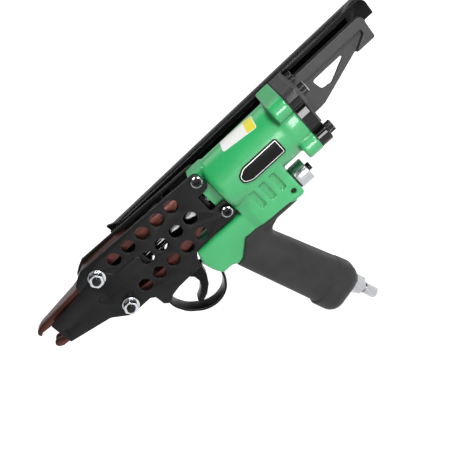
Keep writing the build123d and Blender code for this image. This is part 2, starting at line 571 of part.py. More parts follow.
# Trigger valve: sleeve, stem and spring in a bore below the cylinder, with a turned plug at the rear
SLEEVE_IN_R = 4.2
SLEEVE_X = (132.6, 205.0)
STEM_R = 2.2
KNOB_R = 2.6
KNOB_LENGTH = 3.0
STEM_END_X = 200.0
LANDS_X = [142.0, 166.0, 190.0]
LAND_T = 6.0
PLUG_R = 9.0
PLUG_X = (223.0, 234.0)
PLUG_SKIRT_X = 205.5
SPRING_SEAT_X = 214.0
PLUG_SCREW_R = 2.0
PLUG_SCREW_IN_X = 228.0
PLUG_HEAD_R = 3.0
PLUG_HEAD_X = 237.0
PLUG_EDGE_R = 0.6
PLUG_SOCKET_AF = 3.0
PLUG_SOCKET_DEPTH = 1.5
VALVE_SPRING_R = (3.9, 2.7)
parts["valve_sleeve"] = tube(VALVE_BORE_R, SLEEVE_IN_R, *SLEEVE_X, 0, VALVE_Z)
stem = shaft(STEM_R, KNOB_FRONT_X, STEM_END_X, 0, VALVE_Z)
stem += shaft(KNOB_R, KNOB_FRONT_X, KNOB_FRONT_X + KNOB_LENGTH, 0, VALVE_Z)
for land_x in LANDS_X:
    stem += shaft(SLEEVE_IN_R - RUN_CLEAR, land_x, land_x + LAND_T, 0, VALVE_Z)
parts["valve_stem"] = stem
parts["valve_spring"] = tube(*VALVE_SPRING_R, STEM_END_X + 0.3, SPRING_SEAT_X, 0, VALVE_Z)
plug = fillet(shaft(PLUG_R, *PLUG_X, 0, VALVE_Z).edges(), PLUG_EDGE_R)
plug += shaft(VALVE_BORE_R, PLUG_SKIRT_X, PLUG_X[0] + 1, 0, VALVE_Z)
plug -= shaft(SLEEVE_IN_R, PLUG_SKIRT_X - 1, SPRING_SEAT_X, 0, VALVE_Z)
parts["valve_plug"] = plug - shaft(PLUG_SCREW_R, PLUG_SCREW_IN_X, PLUG_X[1] + 1, 0, VALVE_Z)
parts["plug_washer"] = tube(PLUG_R - 0.6, VALVE_BORE_R, BLOCK_REAR_X, PLUG_X[0], 0, VALVE_Z)
plug_screw = shaft(PLUG_SCREW_R, PLUG_SCREW_IN_X, PLUG_X[1], 0, VALVE_Z)
plug_screw += shaft(PLUG_HEAD_R, PLUG_X[1], PLUG_HEAD_X, 0, VALVE_Z)
plug_socket = Pos(0, VALVE_Z) * hexagon(PLUG_SOCKET_AF)
parts["plug_screw"] = plug_screw - along(plug_socket, PLUG_HEAD_X - PLUG_SOCKET_DEPTH, PLUG_HEAD_X + 1)

# Magazine: a folded channel along the right side, open at its slot, with a block closing the tail
TAIL_ROUND = 6.0
mag_inner_y = (MAG_Y[0] + MAG_WALL, MAG_Y[1] - MAG_WALL)
mag_inner_z = (MAG_Z[0] + MAG_WALL, MAG_Z[1] - MAG_WALL)
mag_corners = [(MAG_X[0], MAG_Z[0]), (MAG_X[1], MAG_Z[0]), (MAG_X[1], MAG_Z[1]), (MAG_X[0], MAG_Z[1])]
channel = side_prism(side_face(mag_corners, [(MAG_X[1], MAG_Z[1], TAIL_ROUND)]), *MAG_Y)
tail_inner_x = MAG_X[1] - TAIL_ROUND
channel -= block((MAG_X[0] - 1, tail_inner_x), mag_inner_y, mag_inner_z)
channel -= block((MAG_X[0] - 1, MAG_STOP_X), (MAG_Y[0] - 1, mag_inner_y[0] + 1), SLOT_Z)
channel -= block((MAG_X[0] - 1, MAG_STOP_X), FIN_SLOT_Y, (mag_inner_z[1] - 1, MAG_Z[1] + 1))
parts["magazine_channel"] = channel
parts["magazine_end_block"] = block((MAG_STOP_X, tail_inner_x), mag_inner_y, mag_inner_z)

# Ring pusher: a slide in the magazine with a thumb fin on top, and its spring reel
FIN_TOP_Z = 26.0
REEL_R = 4.0
pusher_x = (MAG_X[0] + 0.4, MAG_X[0] + 0.4 + PUSHER_LENGTH)
pusher_y = (mag_inner_y[0] + PUSHER_GAP, mag_inner_y[1] - PUSHER_GAP)
pusher_z = (mag_inner_z[0] + PUSHER_GAP, mag_inner_z[1] - PUSHER_GAP)
FIN = [
    (pusher_x[0], pusher_z[1] - 1), (pusher_x[0], FIN_TOP_Z), (pusher_x[0] + 1.4, FIN_TOP_Z),
    (pusher_x[0] + 8.6, 22.4), (pusher_x[0] + 12.0, 22.2), (pusher_x[0] + 12.0, pusher_z[1] - 1),
]
reel_at = (pusher_x[1] - 6.5, (pusher_z[0] + pusher_z[1]) / 2)
pusher = block(pusher_x, pusher_y, pusher_z)
pusher += side_prism(side_face(FIN), FIN_SLOT_Y[0] + PUSHER_GAP, FIN_SLOT_Y[1] - PUSHER_GAP)
parts["ring_pusher"] = pusher - cross_pin(*reel_at, REEL_R + 0.2, pusher_y[0] + 2, pusher_y[1] + 1)
parts["pusher_spring"] = cross_pin(*reel_at, REEL_R, pusher_y[0] + 2.2, pusher_y[1] - 0.5)

# Feed chute: folded sheet that leads the rings from the magazine along the right plate to the mouth
CHUTE_MOUTHS = [(91.8, (25.2, 37.8), (7.4, 17.2)), (19.0, (PLATE_OUTER_Y, 20.5), (-4.4, 8.6))]
CHUTE_WALL = 1.2


def chute(inset):
    """The chute as a straight-sided loft between its two mouths."""
    mouths = []
    for x, (y_low, y_high), (z_low, z_high) in CHUTE_MOUTHS:
        opening = Rectangle(y_high - y_low - 2 * inset, z_high - z_low - 2 * inset)
        mouths.append(Plane.YZ.offset(x) * Pos((y_low + y_high) / 2, (z_low + z_high) / 2) * opening)
    return loft(mouths, ruled=True)


parts["feed_chute"] = chute(0.0) - chute(CHUTE_WALL)

# Front bracket: folded sheet that carries the magazine off the right plate
FRONT_BRACKET_X = (112.0, 140.0)
FRONT_BRACKET_Z = (8.0, 18.0)
front_bracket = block(FRONT_BRACKET_X, (PLATE_OUTER_Y, MAG_Y[0]), FRONT_BRACKET_Z)
bracket_hollow = (FRONT_BRACKET_Z[0] + SHEET, FRONT_BRACKET_Z[1] + 1)
front_bracket -= block((100.0, 150.0), (PLATE_OUTER_Y + SHEET, MAG_Y[0] - SHEET), bracket_hollow)
parts["magazine_front_bracket"] = front_bracket

# Rear bracket: a cast gusset with a window, a raised border and a foot, clamped under the upper cap screws
BASE = [(-21.5, 22.0), (25.0, 22.0), (25.0, -21.0), (9.5, -21.0), (9.5, 9.5), (-21.5, 9.5)]
WEB = [
    (CAP_REAR_X, 14.0), (330.2, 14.0), (329.6, -5.2), (315.0, -5.2), (312.6, -4.7), (274.4, -18.4),
    (CAP_REAR_X, -19.0),
]
WEB_ROUNDS = [(330.2, 14.0, 4.0), (329.6, -5.2, 1.5)]
WINDOW = [(277.2, 0.6), (307.0, 0.6), (287.4, -9.8), (279.4, -8.8)]
WINDOW_ROUNDS = [(277.2, 0.6, 1.5), (307.0, 0.6, 1.0), (287.4, -9.8, 3.0), (279.4, -8.8, 2.5)]
POCKET = [
    (CAP_REAR_X, 6.2), (324.2, 6.2), (324.2, 2.4), (308.0, -8.0), (274.0, -24.0), (CAP_REAR_X, -24.0),
]
BORDER_T = 3.5
HEAD_CLEAR = 0.6
web_y = (MAG_Y[0] - SHEET, MAG_Y[0])
web = side_face(WEB, WEB_ROUNDS)
rear_bracket = along(make_face(Polyline(*BASE, close=True)), CAP_REAR_X, CAP_REAR_X + SHEET)
foot = along(lobed(CAP_INSET), cap_front, CAP_REAR_X)
rear_bracket += foot & block((cap_front, CAP_REAR_X), both(30), FOOT_Z)
rear_bracket -= [shaft(CAP_HOLE_R, cap_front - 1, CAP_REAR_X + SHEET + 1, y, LOBE_AT) for y in both(LOBE_AT)]
rear_bracket += side_prism(web - side_face(WINDOW, WINDOW_ROUNDS), *web_y)
border = side_prism(web - side_face(POCKET), web_y[0] - BORDER_T, web_y[0])
head_x = CAP_REAR_X + SHEET
border -= shaft(HEAD_R + HEAD_CLEAR, head_x, head_x + HEAD_T + HEAD_CLEAR, LOBE_AT, LOBE_AT)
parts["magazine_rear_bracket"] = rear_bracket + border

# Name plate: a blank plate with a blunt point, wrapped on the barrel's left side
NAME_X = (195.8, 232.0)
NAME_HALF_H = (2.8, 6.3)
NAME_POINT = 6.0
NAME_ROUND = 1.2
NAME_T = 0.8
name_half = [
    (NAME_X[0], NAME_HALF_H[0]), (NAME_X[0] + NAME_POINT, NAME_HALF_H[1]), (NAME_X[1], NAME_HALF_H[1]),
]
name_outline = name_half + [(x, -z) for x, z in reversed(name_half)]
name_rounds = [(x, z, NAME_ROUND) for x, z in name_outline]
name_skin = tube(BARREL_R + NAME_T, BARREL_R, NAME_X[0] - 1, NAME_X[1] + 1)
parts["name_plate"] = name_skin & side_prism(side_face(name_outline, name_rounds), -40, 0)

os.makedirs("parts", exist_ok=True)
for node, shape in parts.items():
    export_step(shape, f"parts/{node}.step")
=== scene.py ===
import math
import bpy
from mathutils import Matrix, Vector


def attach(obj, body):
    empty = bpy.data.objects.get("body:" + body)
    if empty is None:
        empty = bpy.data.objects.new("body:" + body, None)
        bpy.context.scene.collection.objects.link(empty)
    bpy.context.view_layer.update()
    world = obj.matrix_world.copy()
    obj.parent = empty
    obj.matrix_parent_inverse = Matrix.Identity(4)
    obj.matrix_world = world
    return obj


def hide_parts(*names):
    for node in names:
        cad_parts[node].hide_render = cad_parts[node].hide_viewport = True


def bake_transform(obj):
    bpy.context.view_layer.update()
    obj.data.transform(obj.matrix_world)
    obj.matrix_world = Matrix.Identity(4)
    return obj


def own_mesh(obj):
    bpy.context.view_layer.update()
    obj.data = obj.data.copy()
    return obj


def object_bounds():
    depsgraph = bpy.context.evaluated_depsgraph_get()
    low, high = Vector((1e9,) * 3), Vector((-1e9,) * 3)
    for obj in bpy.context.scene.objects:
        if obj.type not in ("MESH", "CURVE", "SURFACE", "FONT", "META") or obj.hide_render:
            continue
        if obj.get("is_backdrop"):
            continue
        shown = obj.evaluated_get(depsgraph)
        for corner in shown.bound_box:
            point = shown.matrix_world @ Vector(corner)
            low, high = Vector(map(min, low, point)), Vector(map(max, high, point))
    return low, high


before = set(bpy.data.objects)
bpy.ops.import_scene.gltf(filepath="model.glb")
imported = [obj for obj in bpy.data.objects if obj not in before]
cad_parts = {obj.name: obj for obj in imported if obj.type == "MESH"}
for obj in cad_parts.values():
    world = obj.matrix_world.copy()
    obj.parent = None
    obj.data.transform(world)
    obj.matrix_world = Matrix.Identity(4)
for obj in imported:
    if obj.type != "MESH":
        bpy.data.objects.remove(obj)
cad_low, cad_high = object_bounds()
scene = bpy.context.scene
scene.view_settings.view_transform = "Standard"


# Body: one aluminium casting with the cylinder barrel, the lobed flange, the valve block and the handle's
# core. Its edges and inside corners are rounded as they left the mould, most of all between barrel and
# flange, and it is sprayed with green enamel.
MM = 0.001
WELD = 0.002 * MM
BODY_VOXEL = 0.8 * MM
BODY_ROUNDS = 3
FLANGE_ROUNDS = 40
FLANGE_SOFT = {"x": (226.0 * MM, 250.0 * MM), "z": (-10.5 * MM, 10.5 * MM), "out": 16.5 * MM}
SKIRT_ROUNDS = 30
SKIRT_SOFT = {"x": (180.0 * MM, 224.5 * MM), "z": (-12.6 * MM, -7.0 * MM), "out": 14.5 * MM}
SLOT_ROUNDS = 1
SLOTS_CRISP = {"x": (189.0 * MM, 218.0 * MM), "z": (-32.0 * MM, -12.6 * MM), "out": 12.0 * MM}


def linear(code):
    """An sRGB hex colour as linear red, green, blue and alpha."""
    shares = [int(code[k:k + 2], 16) / 255 for k in (1, 3, 5)]
    return tuple(s / 12.92 if s <= 0.04045 else ((s + 0.055) / 1.055) ** 2.4 for s in shares) + (1.0,)


def per_mm(size):
    """The texture scale that makes spots of a size in millimetres, on coordinates in metres."""
    return 1 / (size * MM)


def add(tree, kind, inputs, output=0, **settings):
    """Add one node with its settings; an input is a value or another node's output. Gives one output."""
    node = tree.nodes.new("ShaderNode" + kind)
    for name, value in settings.items():
        setattr(node, name, value)
    for socket, value in inputs.items():
        if isinstance(value, bpy.types.NodeSocket):
            tree.links.new(value, node.inputs[socket])
        else:
            node.inputs[socket].default_value = value
    return node if output is None else node.outputs[output]


def new_finish(name):
    """A new material, its emptied node tree and the piece's own coordinates in metres."""
    made = bpy.data.materials.new(name)
    made.use_nodes = True
    made.node_tree.nodes.clear()
    return made, made.node_tree, add(made.node_tree, "TexCoord", {}, "Object")


def edge_rub_and_highlight(tree, width_mm, most):
    """How pale an edge is painted, as rubbed wear and as a painted highlight line: 0 on the flats, rising
    to the most on a sharp edge.
    """
    rounded = add(tree, "Bevel", {"Radius": width_mm * MM}, samples=4)
    flat = add(tree, "NewGeometry", {}, "Normal")
    turn = add(tree, "VectorMath", {0: rounded, 1: flat}, "Value", operation="DOT_PRODUCT")
    return add(tree, "MapRange", {"Value": turn, "From Min": 0.99, "From Max": 0.80, "To Max": most})


def focus(piece):
    """Make a piece the only selected one, and the active one."""
    bpy.ops.object.select_all(action="DESELECT")
    bpy.context.view_layer.objects.active = piece
    piece.select_set(True)


def cad_copy(node, name):
    """A new piece from a copy of a CAD node's mesh, with its loose triangles joined."""
    piece = bpy.data.objects.new(name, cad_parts[node].data.copy())
    scene.collection.objects.link(piece)
    piece.data.materials.clear()
    focus(piece)
    bpy.ops.object.mode_set(mode="EDIT")
    bpy.ops.mesh.select_all(action="SELECT")
    bpy.ops.mesh.remove_doubles(threshold=WELD)
    bpy.ops.object.mode_set(mode="OBJECT")
    return piece


def modify(kind, **settings):
    """Add a modifier to the active piece, set it and apply it."""
    modifier = bpy.context.object.modifiers.new(kind.lower(), kind)
    for name, value in settings.items():
        setattr(modifier, name, value)
    bpy.ops.object.modifier_apply(modifier=modifier.name)


def soften(rounds, test=lambda point: True):
    """Smooth the active piece, or only the points of it that pass a test."""
    piece = bpy.context.object
    chosen = [v.index for v in piece.data.vertices if test(v.co)]
    piece.vertex_groups.new(name="soft").add(chosen, 1.0, "REPLACE")
    modify("SMOOTH", factor=0.5, iterations=rounds, vertex_group="soft")
    piece.vertex_groups.clear()


def within(x, z, out=0.0):
    """A test for points between two limits of X and of Z, at least so far out to either side."""
    return lambda point: x[0] < point.x < x[1] and z[0] < point.z < z[1] and abs(point.y) >= out


def stand_for(piece, node, body, slot, *materials):
    """Hand a finished piece to the frame in place of a CAD node."""
    for material in materials:
        piece.data.materials.append(material)
    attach(piece, body)
    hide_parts(node)


# Green enamel, sprayed and stoved: a clear gloss over a faint orange peel, paler where it thins on the
# edges, and darkened by painted shade in its corners, creases and recesses
enamel, tree, place = new_finish("green_enamel")
cloud = add(tree, "TexNoise", {"Vector": place, "Scale": per_mm(35.0), "Detail": 3.0})
share = add(tree, "MapRange", {"Value": cloud, "From Min": 0.3, "From Max": 0.7})
tone = add(tree, "Mix", {0: share, 6: linear("#2BAA60"), 7: linear("#37B86D")}, 2, data_type="RGBA")
rub_and_highlight = edge_rub_and_highlight(tree, 1.2, 0.35)
worn = add(tree, "Mix", {0: rub_and_highlight, 6: tone, 7: linear("#7FDDA2")}, 2, data_type="RGBA")
# Painted shade: ambient occlusion darkens the enamel to a deep green in corners and recesses
shade_ao = add(tree, "AmbientOcclusion", {"Distance": 3.0 * MM}, "AO", samples=6, only_local=True)
unshaded_share = add(tree, "MapRange", {"Value": shade_ao, "From Min": 0.68, "From Max": 0.97})
colour = add(tree, "Mix", {0: unshaded_share, 6: linear("#0C4A22"), 7: worn}, 2, data_type="RGBA")
haze = add(tree, "TexNoise", {"Vector": place, "Scale": per_mm(6.0), "Detail": 3.0})
rough = add(tree, "MapRange", {"Value": haze, "To Min": 0.26, "To Max": 0.40})
peel = add(tree, "TexNoise", {"Vector": place, "Scale": per_mm(1.6), "Detail": 2.0})
normal = add(tree, "Bump", {"Height": peel, "Distance": 0.05 * MM, "Strength": 0.5})
shader = add(tree, "BsdfPrincipled", {
    "Base Color": colour, "Roughness": rough, "Coat Weight": 0.4, "Coat Roughness": 0.12, "Normal": normal,
})
add(tree, "OutputMaterial", {"Surface": shader}, None)

body = cad_copy("body_casting", "cast_body")
modify("REMESH", mode="VOXEL", voxel_size=BODY_VOXEL)
soften(FLANGE_ROUNDS, within(**FLANGE_SOFT))
soften(SKIRT_ROUNDS, within(**SKIRT_SOFT))
in_slots = within(**SLOTS_CRISP)
soften(SLOT_ROUNDS, in_slots)
soften(BODY_ROUNDS, lambda point: not in_slots(point))
bpy.ops.object.shade_smooth()
stand_for(body, "body_casting", "frame", "painted_green", enamel)


# Cylinder: an aluminium liner pressed into the barrel, with a bronze bush and rubber rings for the rod.
# All of it is hidden when the tool is whole, but the gasket and the washer of the same rubber show an edge.
def dress(material, *nodes):
    """Give CAD nodes that keep their own shape a finish."""
    for node in nodes:
        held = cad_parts[node].data.materials
        held.clear()
        held.append(material)


# Machined aluminium: fine lathe rings, drawn about five times as coarse as real ones so that they show
aluminium, tree, place = new_finish("machined_aluminium")
drawn = add(tree, "Mapping", {"Vector": place, "Scale": (1.0, 0.12, 0.12)})
rings = add(tree, "TexNoise", {"Vector": drawn, "Scale": per_mm(0.7), "Detail": 2.0})
colour = add(tree, "Mix", {0: rings, 6: linear("#B4B6B8"), 7: linear("#D0D1D3")}, 2, data_type="RGBA")
rough = add(tree, "MapRange", {"Value": rings, "To Min": 0.30, "To Max": 0.45})
normal = add(tree, "Bump", {"Height": rings, "Distance": 0.01 * MM, "Strength": 0.5})
shader = add(tree, "BsdfPrincipled", {
    "Base Color": colour, "Metallic": 1.0, "Roughness": rough, "Normal": normal,
})
add(tree, "OutputMaterial", {"Surface": shader}, None)
dress(aluminium, "cylinder_liner", "piston")

# Bearing bronze: a warm metal with the open grain of a sintered bush
bronze, tree, place = new_finish("sintered_bronze")
pores = add(tree, "TexNoise", {"Vector": place, "Scale": per_mm(0.8), "Detail": 3.0})
colour = add(tree, "Mix", {0: pores, 6: linear("#8F6C38"), 7: linear("#C29A5C")}, 2, data_type="RGBA")
normal = add(tree, "Bump", {"Height": pores, "Distance": 0.02 * MM, "Strength": 0.5})
shader = add(tree, "BsdfPrincipled", {
    "Base Color": colour, "Metallic": 1.0, "Roughness": 0.36, "Normal": normal,
})
add(tree, "OutputMaterial", {"Surface": shader}, None)
dress(bronze, "rod_bush", "valve_sleeve")

# Nitrile rubber: nearly black, with the dull skin of a pressed ring
nitrile, tree, place = new_finish("nitrile_rubber")
skin = add(tree, "TexNoise", {"Vector": place, "Scale": per_mm(0.9), "Detail": 3.0})
colour = add(tree, "Mix", {0: skin, 6: linear("#161616"), 7: linear("#232323")}, 2, data_type="RGBA")
rough = add(tree, "MapRange", {"Value": skin, "To Min": 0.55, "To Max": 0.75})
normal = add(tree, "Bump", {"Height": skin, "Distance": 0.03 * MM, "Strength": 0.5})
shader = add(tree, "BsdfPrincipled", {"Base Color": colour, "Roughness": rough, "Normal": normal})
add(tree, "OutputMaterial", {"Surface": shader}, None)
dress(nitrile, "rod_seal", "front_bumper", "piston_seal", "cap_gasket", "plug_washer")


# Drive: a piston on a chromed rod, and in front of it the cone and pilot that spread the jaw levers.
# They are chromed where the rollers run, and the cone's rear end is given black oxide as painted shade, for
# the dark gap between the plates and the body's boss.
# Hard chrome is mirror bright, with fine scratches along its travel, and painted shade darkens it where
# other parts hem it in.
CONE_PAINTED_SHADE_X = 157.0 * MM
SMOOTH_BELOW = math.radians(32)
chrome, tree, place = new_finish("hard_chrome")
drawn = add(tree, "Mapping", {"Vector": place, "Scale": (0.05, 1.0, 1.0)})
scratch = add(tree, "TexNoise", {"Vector": drawn, "Scale": per_mm(0.6), "Detail": 3.0})
tone = add(tree, "Mix", {0: scratch, 6: linear("#9C9EA2"), 7: linear("#C4C6C9")}, 2, data_type="RGBA")
# Painted shade: ambient occlusion from the parts round it darkens the chrome nearly to black
shade_ao = add(tree, "AmbientOcclusion", {"Distance": 6.0 * MM}, "AO", samples=6)
unshaded_share = add(tree, "MapRange", {"Value": shade_ao, "From Min": 0.35, "From Max": 0.80})
colour = add(tree, "Mix", {0: unshaded_share, 6: linear("#101011"), 7: tone}, 2, data_type="RGBA")
rough = add(tree, "MapRange", {"Value": scratch, "To Min": 0.05, "To Max": 0.16})
normal = add(tree, "Bump", {"Height": scratch, "Distance": 0.004 * MM, "Strength": 0.4})
shader = add(tree, "BsdfPrincipled", {
    "Base Color": colour, "Metallic": 1.0, "Roughness": rough, "Normal": normal,
})
add(tree, "OutputMaterial", {"Surface": shader}, None)
dress(chrome, "piston_rod")

# Black oxide: a thin dark skin on steel that wears to grey on the corners
black_oxide, tree, place = new_finish("black_oxide_steel")
cloud = add(tree, "TexNoise", {"Vector": place, "Scale": per_mm(1.5), "Detail": 3.0})
tone = add(tree, "Mix", {0: cloud, 6: linear("#0A0A0B"), 7: linear("#161617")}, 2, data_type="RGBA")
rub_and_highlight = edge_rub_and_highlight(tree, 0.3, 0.5)
colour = add(tree, "Mix", {0: rub_and_highlight, 6: tone, 7: linear("#5E5E60")}, 2, data_type="RGBA")
rough = add(tree, "MapRange", {"Value": cloud, "To Min": 0.18, "To Max": 0.34})
normal = add(tree, "Bump", {"Height": cloud, "Distance": 0.01 * MM, "Strength": 0.4})
shader = add(tree, "BsdfPrincipled", {
    "Base Color": colour, "Metallic": 0.4, "Roughness": rough, "Specular IOR Level": 0.35, "Normal": normal,
})
add(tree, "OutputMaterial", {"Surface": shader}, None)
cone = cad_copy("drive_cone", "drive_cone_ground")
bpy.ops.object.mode_set(mode="EDIT")
bpy.ops.mesh.select_all(action="SELECT")
bpy.ops.mesh.bisect(plane_co=(CONE_PAINTED_SHADE_X, 0, 0), plane_no=(1, 0, 0))
bpy.ops.object.mode_set(mode="OBJECT")
# Painted shade: the faces behind the cut take the black finish
for face in cone.data.polygons:
    face.material_index = int(face.center.x > CONE_PAINTED_SHADE_X)
bpy.ops.object.shade_smooth_by_angle(angle=SMOOTH_BELOW)
stand_for(cone, "drive_cone", "drive", "chrome", chrome, black_oxide)

# Return spring: a coil of hard-drawn wire round the rod that pushes the piston back.
# It stands between the bumper and the piston.
RETURN_SPRING = {"mean_r": 12.0 * MM, "wire_r": 1.0 * MM, "length": 42.0 * MM, "turns": 6}
RETURN_SPRING_X = 194.0 * MM


def coil(name, mean_r, wire_r, length, turns, steps=36):
    """A helical spring that runs along X from the origin, with closed wire ends."""
    bpy.ops.object.select_all(action="DESELECT")
    bpy.ops.mesh.primitive_circle_add(vertices=10, radius=wire_r)
    spring = bpy.context.object
    spring.name = name
    bpy.ops.object.mode_set(mode="EDIT")
    bpy.ops.transform.translate(value=(wire_r, mean_r, 0.0))
    bpy.ops.object.mode_set(mode="OBJECT")
    modify(
        "SCREW", axis="X", angle=2 * math.pi, screw_offset=(length - 2 * wire_r) / turns,
        iterations=turns, steps=steps, render_steps=steps,
    )
    bpy.ops.object.mode_set(mode="EDIT")
    bpy.ops.mesh.select_all(action="SELECT")
    bpy.ops.mesh.fill_holes(sides=0)
    bpy.ops.mesh.select_all(action="SELECT")
    bpy.ops.mesh.normals_make_consistent(inside=False)
    bpy.ops.object.mode_set(mode="OBJECT")
    bpy.ops.object.shade_smooth_by_angle(angle=math.radians(40))
    return spring


# Spring wire: grey drawn steel with die lines along the wire, shown as a fine mottle
spring_wire, tree, place = new_finish("drawn_spring_wire")
lines = add(tree, "TexNoise", {"Vector": place, "Scale": per_mm(0.8), "Detail": 2.0})
colour = add(tree, "Mix", {0: lines, 6: linear("#74767A"), 7: linear("#A6A8AC")}, 2, data_type="RGBA")
rough = add(tree, "MapRange", {"Value": lines, "To Min": 0.22, "To Max": 0.36})
normal = add(tree, "Bump", {"Height": lines, "Distance": 0.006 * MM, "Strength": 0.5})
shader = add(tree, "BsdfPrincipled", {
    "Base Color": colour, "Metallic": 1.0, "Roughness": rough, "Normal": normal,
})
add(tree, "OutputMaterial", {"Surface": shader}, None)

spring = coil("return_spring_coil", **RETURN_SPRING)
spring.data.transform(Matrix.Translation((RETURN_SPRING_X, 0.0, 0.0)))
stand_for(spring, "return_spring", "frame", "spring_steel", spring_wire)
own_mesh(spring)

# Cylinder cap: a moulded black end plate with a boss under each screw, over a rubber gasket.
# Glass-filled nylon from a polished mould: a deep gloss with fine rubs from handling.
gloss_nylon, tree, place = new_finish("gloss_black_nylon")
cloud = add(tree, "TexNoise", {"Vector": place, "Scale": per_mm(9.0), "Detail": 3.0})
colour = add(tree, "Mix", {0: cloud, 6: linear("#060606"), 7: linear("#0E0E0F")}, 2, data_type="RGBA")
drawn = add(tree, "Mapping", {"Vector": place, "Scale": (0.2, 1.0, 1.0)})
rubs = add(tree, "TexNoise", {"Vector": drawn, "Scale": per_mm(3.0), "Detail": 5.0})
rough = add(tree, "MapRange", {"Value": rubs, "To Min": 0.08, "To Max": 0.22})
normal = add(tree, "Bump", {"Height": cloud, "Distance": 0.03 * MM, "Strength": 0.3})
shader = add(tree, "BsdfPrincipled", {
    "Base Color": colour, "Roughness": rough, "Specular IOR Level": 0.12, "Coat Weight": 0.25,
    "Coat Roughness": 0.05, "Normal": normal,
})
add(tree, "OutputMaterial", {"Surface": shader}, None)
dress(gloss_nylon, "cylinder_cap")

# Trigger valve: a chromed stem and its spring in a bronze sleeve, closed at the rear by a plated plug.
# The plug is turned smooth and held by a small black screw, and a steel pin in the block locks it.
VALVE_SPRING = {"mean_r": 3.3 * MM, "wire_r": 0.6 * MM, "length": 13.7 * MM, "turns": 7}
VALVE_SPRING_AT = (200.3 * MM, 0.0, -36.3 * MM)
FLAT_WITHIN = math.radians(0.5)
SHARP_FROM = math.radians(35)


def eased(node, name, width_mm, segments=2):
    """A piece made from its CAD node with its sharp edges broken by a small round."""
    piece = cad_copy(node, name)
    bpy.ops.object.mode_set(mode="EDIT")
    bpy.ops.mesh.select_all(action="SELECT")
    bpy.ops.mesh.dissolve_limited(angle_limit=FLAT_WITHIN)
    bpy.ops.object.mode_set(mode="OBJECT")
    modify(
        "BEVEL", width=width_mm * MM, segments=segments, limit_method="ANGLE",
        angle_limit=SHARP_FROM, use_clamp_overlap=False,
    )
    bpy.ops.object.shade_smooth_by_angle(angle=SMOOTH_BELOW)
    return piece


dress(chrome, "valve_stem")
spring = coil("valve_spring_coil", **VALVE_SPRING)
spring.data.transform(Matrix.Translation(VALVE_SPRING_AT))
stand_for(spring, "valve_spring", "frame", "spring_steel", spring_wire)
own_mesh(spring)

# Nickel plate over turned steel: smooth and bright, with faint rings left by the lathe
nickel, tree, place = new_finish("nickel_plated_steel")
drawn = add(tree, "Mapping", {"Vector": place, "Scale": (1.0, 0.08, 0.08)})
rings = add(tree, "TexNoise", {"Vector": drawn, "Scale": per_mm(0.9), "Detail": 2.0})
colour = add(tree, "Mix", {0: rings, 6: linear("#8E9093"), 7: linear("#B5B7BA")}, 2, data_type="RGBA")
rough = add(tree, "MapRange", {"Value": rings, "To Min": 0.18, "To Max": 0.30})
normal = add(tree, "Bump", {"Height": rings, "Distance": 0.006 * MM, "Strength": 0.4})
shader = add(tree, "BsdfPrincipled", {
    "Base Color": colour, "Metallic": 1.0, "Roughness": rough, "Normal": normal,
})
add(tree, "OutputMaterial", {"Surface": shader}, None)
plug = eased("valve_plug", "valve_plug_turned", width_mm=0.3)
stand_for(plug, "valve_plug", "frame", "plug_steel", nickel)

screw = eased("plug_screw", "plug_screw_blacked", width_mm=0.25)
stand_for(screw, "plug_screw", "frame", "black_screw", black_oxide)
dress(black_oxide, "lock_pin")

# Grip: a rubber sleeve moulded over the handle's core, with a thicker boot below and a round tongue under
# the block, which runs into the handle in a wide curve.
# The mould leaves a fine matt grain, and the rubber is paler where a hand polishes it.
GRIP_VOXEL = 0.8 * MM
GRIP_ROUNDS = 4
CROTCH_ROUNDS = 40
CROTCH_SOFT = {"x": (172.0 * MM, 200.0 * MM), "z": (-72.0 * MM, -42.5 * MM)}
CROTCH_AT = (184.6 * MM, 0.0, -54.25 * MM)
CROTCH_SIZE = (14.0 * MM, 14.0 * MM, 13.5 * MM)
CROTCH_CURVE_AT = (191.6 * MM, 0.0, -58.0 * MM)
CROTCH_CURVE_R = 8.2 * MM
rubber, tree, place = new_finish("moulded_rubber")
cloud = add(tree, "TexNoise", {"Vector": place, "Scale": per_mm(22.0), "Detail": 4.0})
share = add(tree, "MapRange", {"Value": cloud, "From Min": 0.3, "From Max": 0.7})
colour = add(tree, "Mix", {0: share, 6: linear("#1E1E1E"), 7: linear("#2F2F2F")}, 2, data_type="RGBA")
skin = add(tree, "TexNoise", {"Vector": place, "Scale": per_mm(0.9), "Detail": 4.0})
rough = add(tree, "MapRange", {"Value": skin, "To Min": 0.58, "To Max": 0.80})
normal = add(tree, "Bump", {"Height": skin, "Distance": 0.15 * MM, "Strength": 0.5})
shader = add(tree, "BsdfPrincipled", {
    "Base Color": colour, "Roughness": rough, "Specular IOR Level": 0.35, "Sheen Weight": 0.1,
    "Normal": normal,
})
add(tree, "OutputMaterial", {"Surface": shader}, None)

bpy.ops.object.select_all(action="DESELECT")
bpy.ops.mesh.primitive_cube_add(size=1.0, location=CROTCH_AT, scale=CROTCH_SIZE)
web = bpy.context.object
bpy.ops.mesh.primitive_cylinder_add(
    vertices=64, radius=CROTCH_CURVE_R, depth=2 * CROTCH_SIZE[1], location=CROTCH_CURVE_AT,
    rotation=(math.pi / 2, 0, 0),
)
curve = bpy.context.object
focus(web)
modify("BOOLEAN", object=curve, operation="DIFFERENCE", solver="EXACT")
bpy.data.objects.remove(curve)
grip = cad_copy("grip_sleeve", "rubber_grip")
web.select_set(True)
bpy.ops.object.join()
modify("REMESH", mode="VOXEL", voxel_size=GRIP_VOXEL)
soften(CROTCH_ROUNDS, within(**CROTCH_SOFT))
soften(GRIP_ROUNDS)
bpy.ops.object.shade_smooth()
stand_for(grip, "grip_sleeve", "frame", "grip_rubber", rubber)

# Air plug: a hexagon and a quick-release nipple turned from steel, screwed into the handle's foot.
# It is nickel plated like the valve plug.
inlet = eased("air_inlet_plug", "air_plug_turned", width_mm=0.5, segments=3)
stand_for(inlet, "air_inlet_plug", "frame", "plug_steel", nickel)
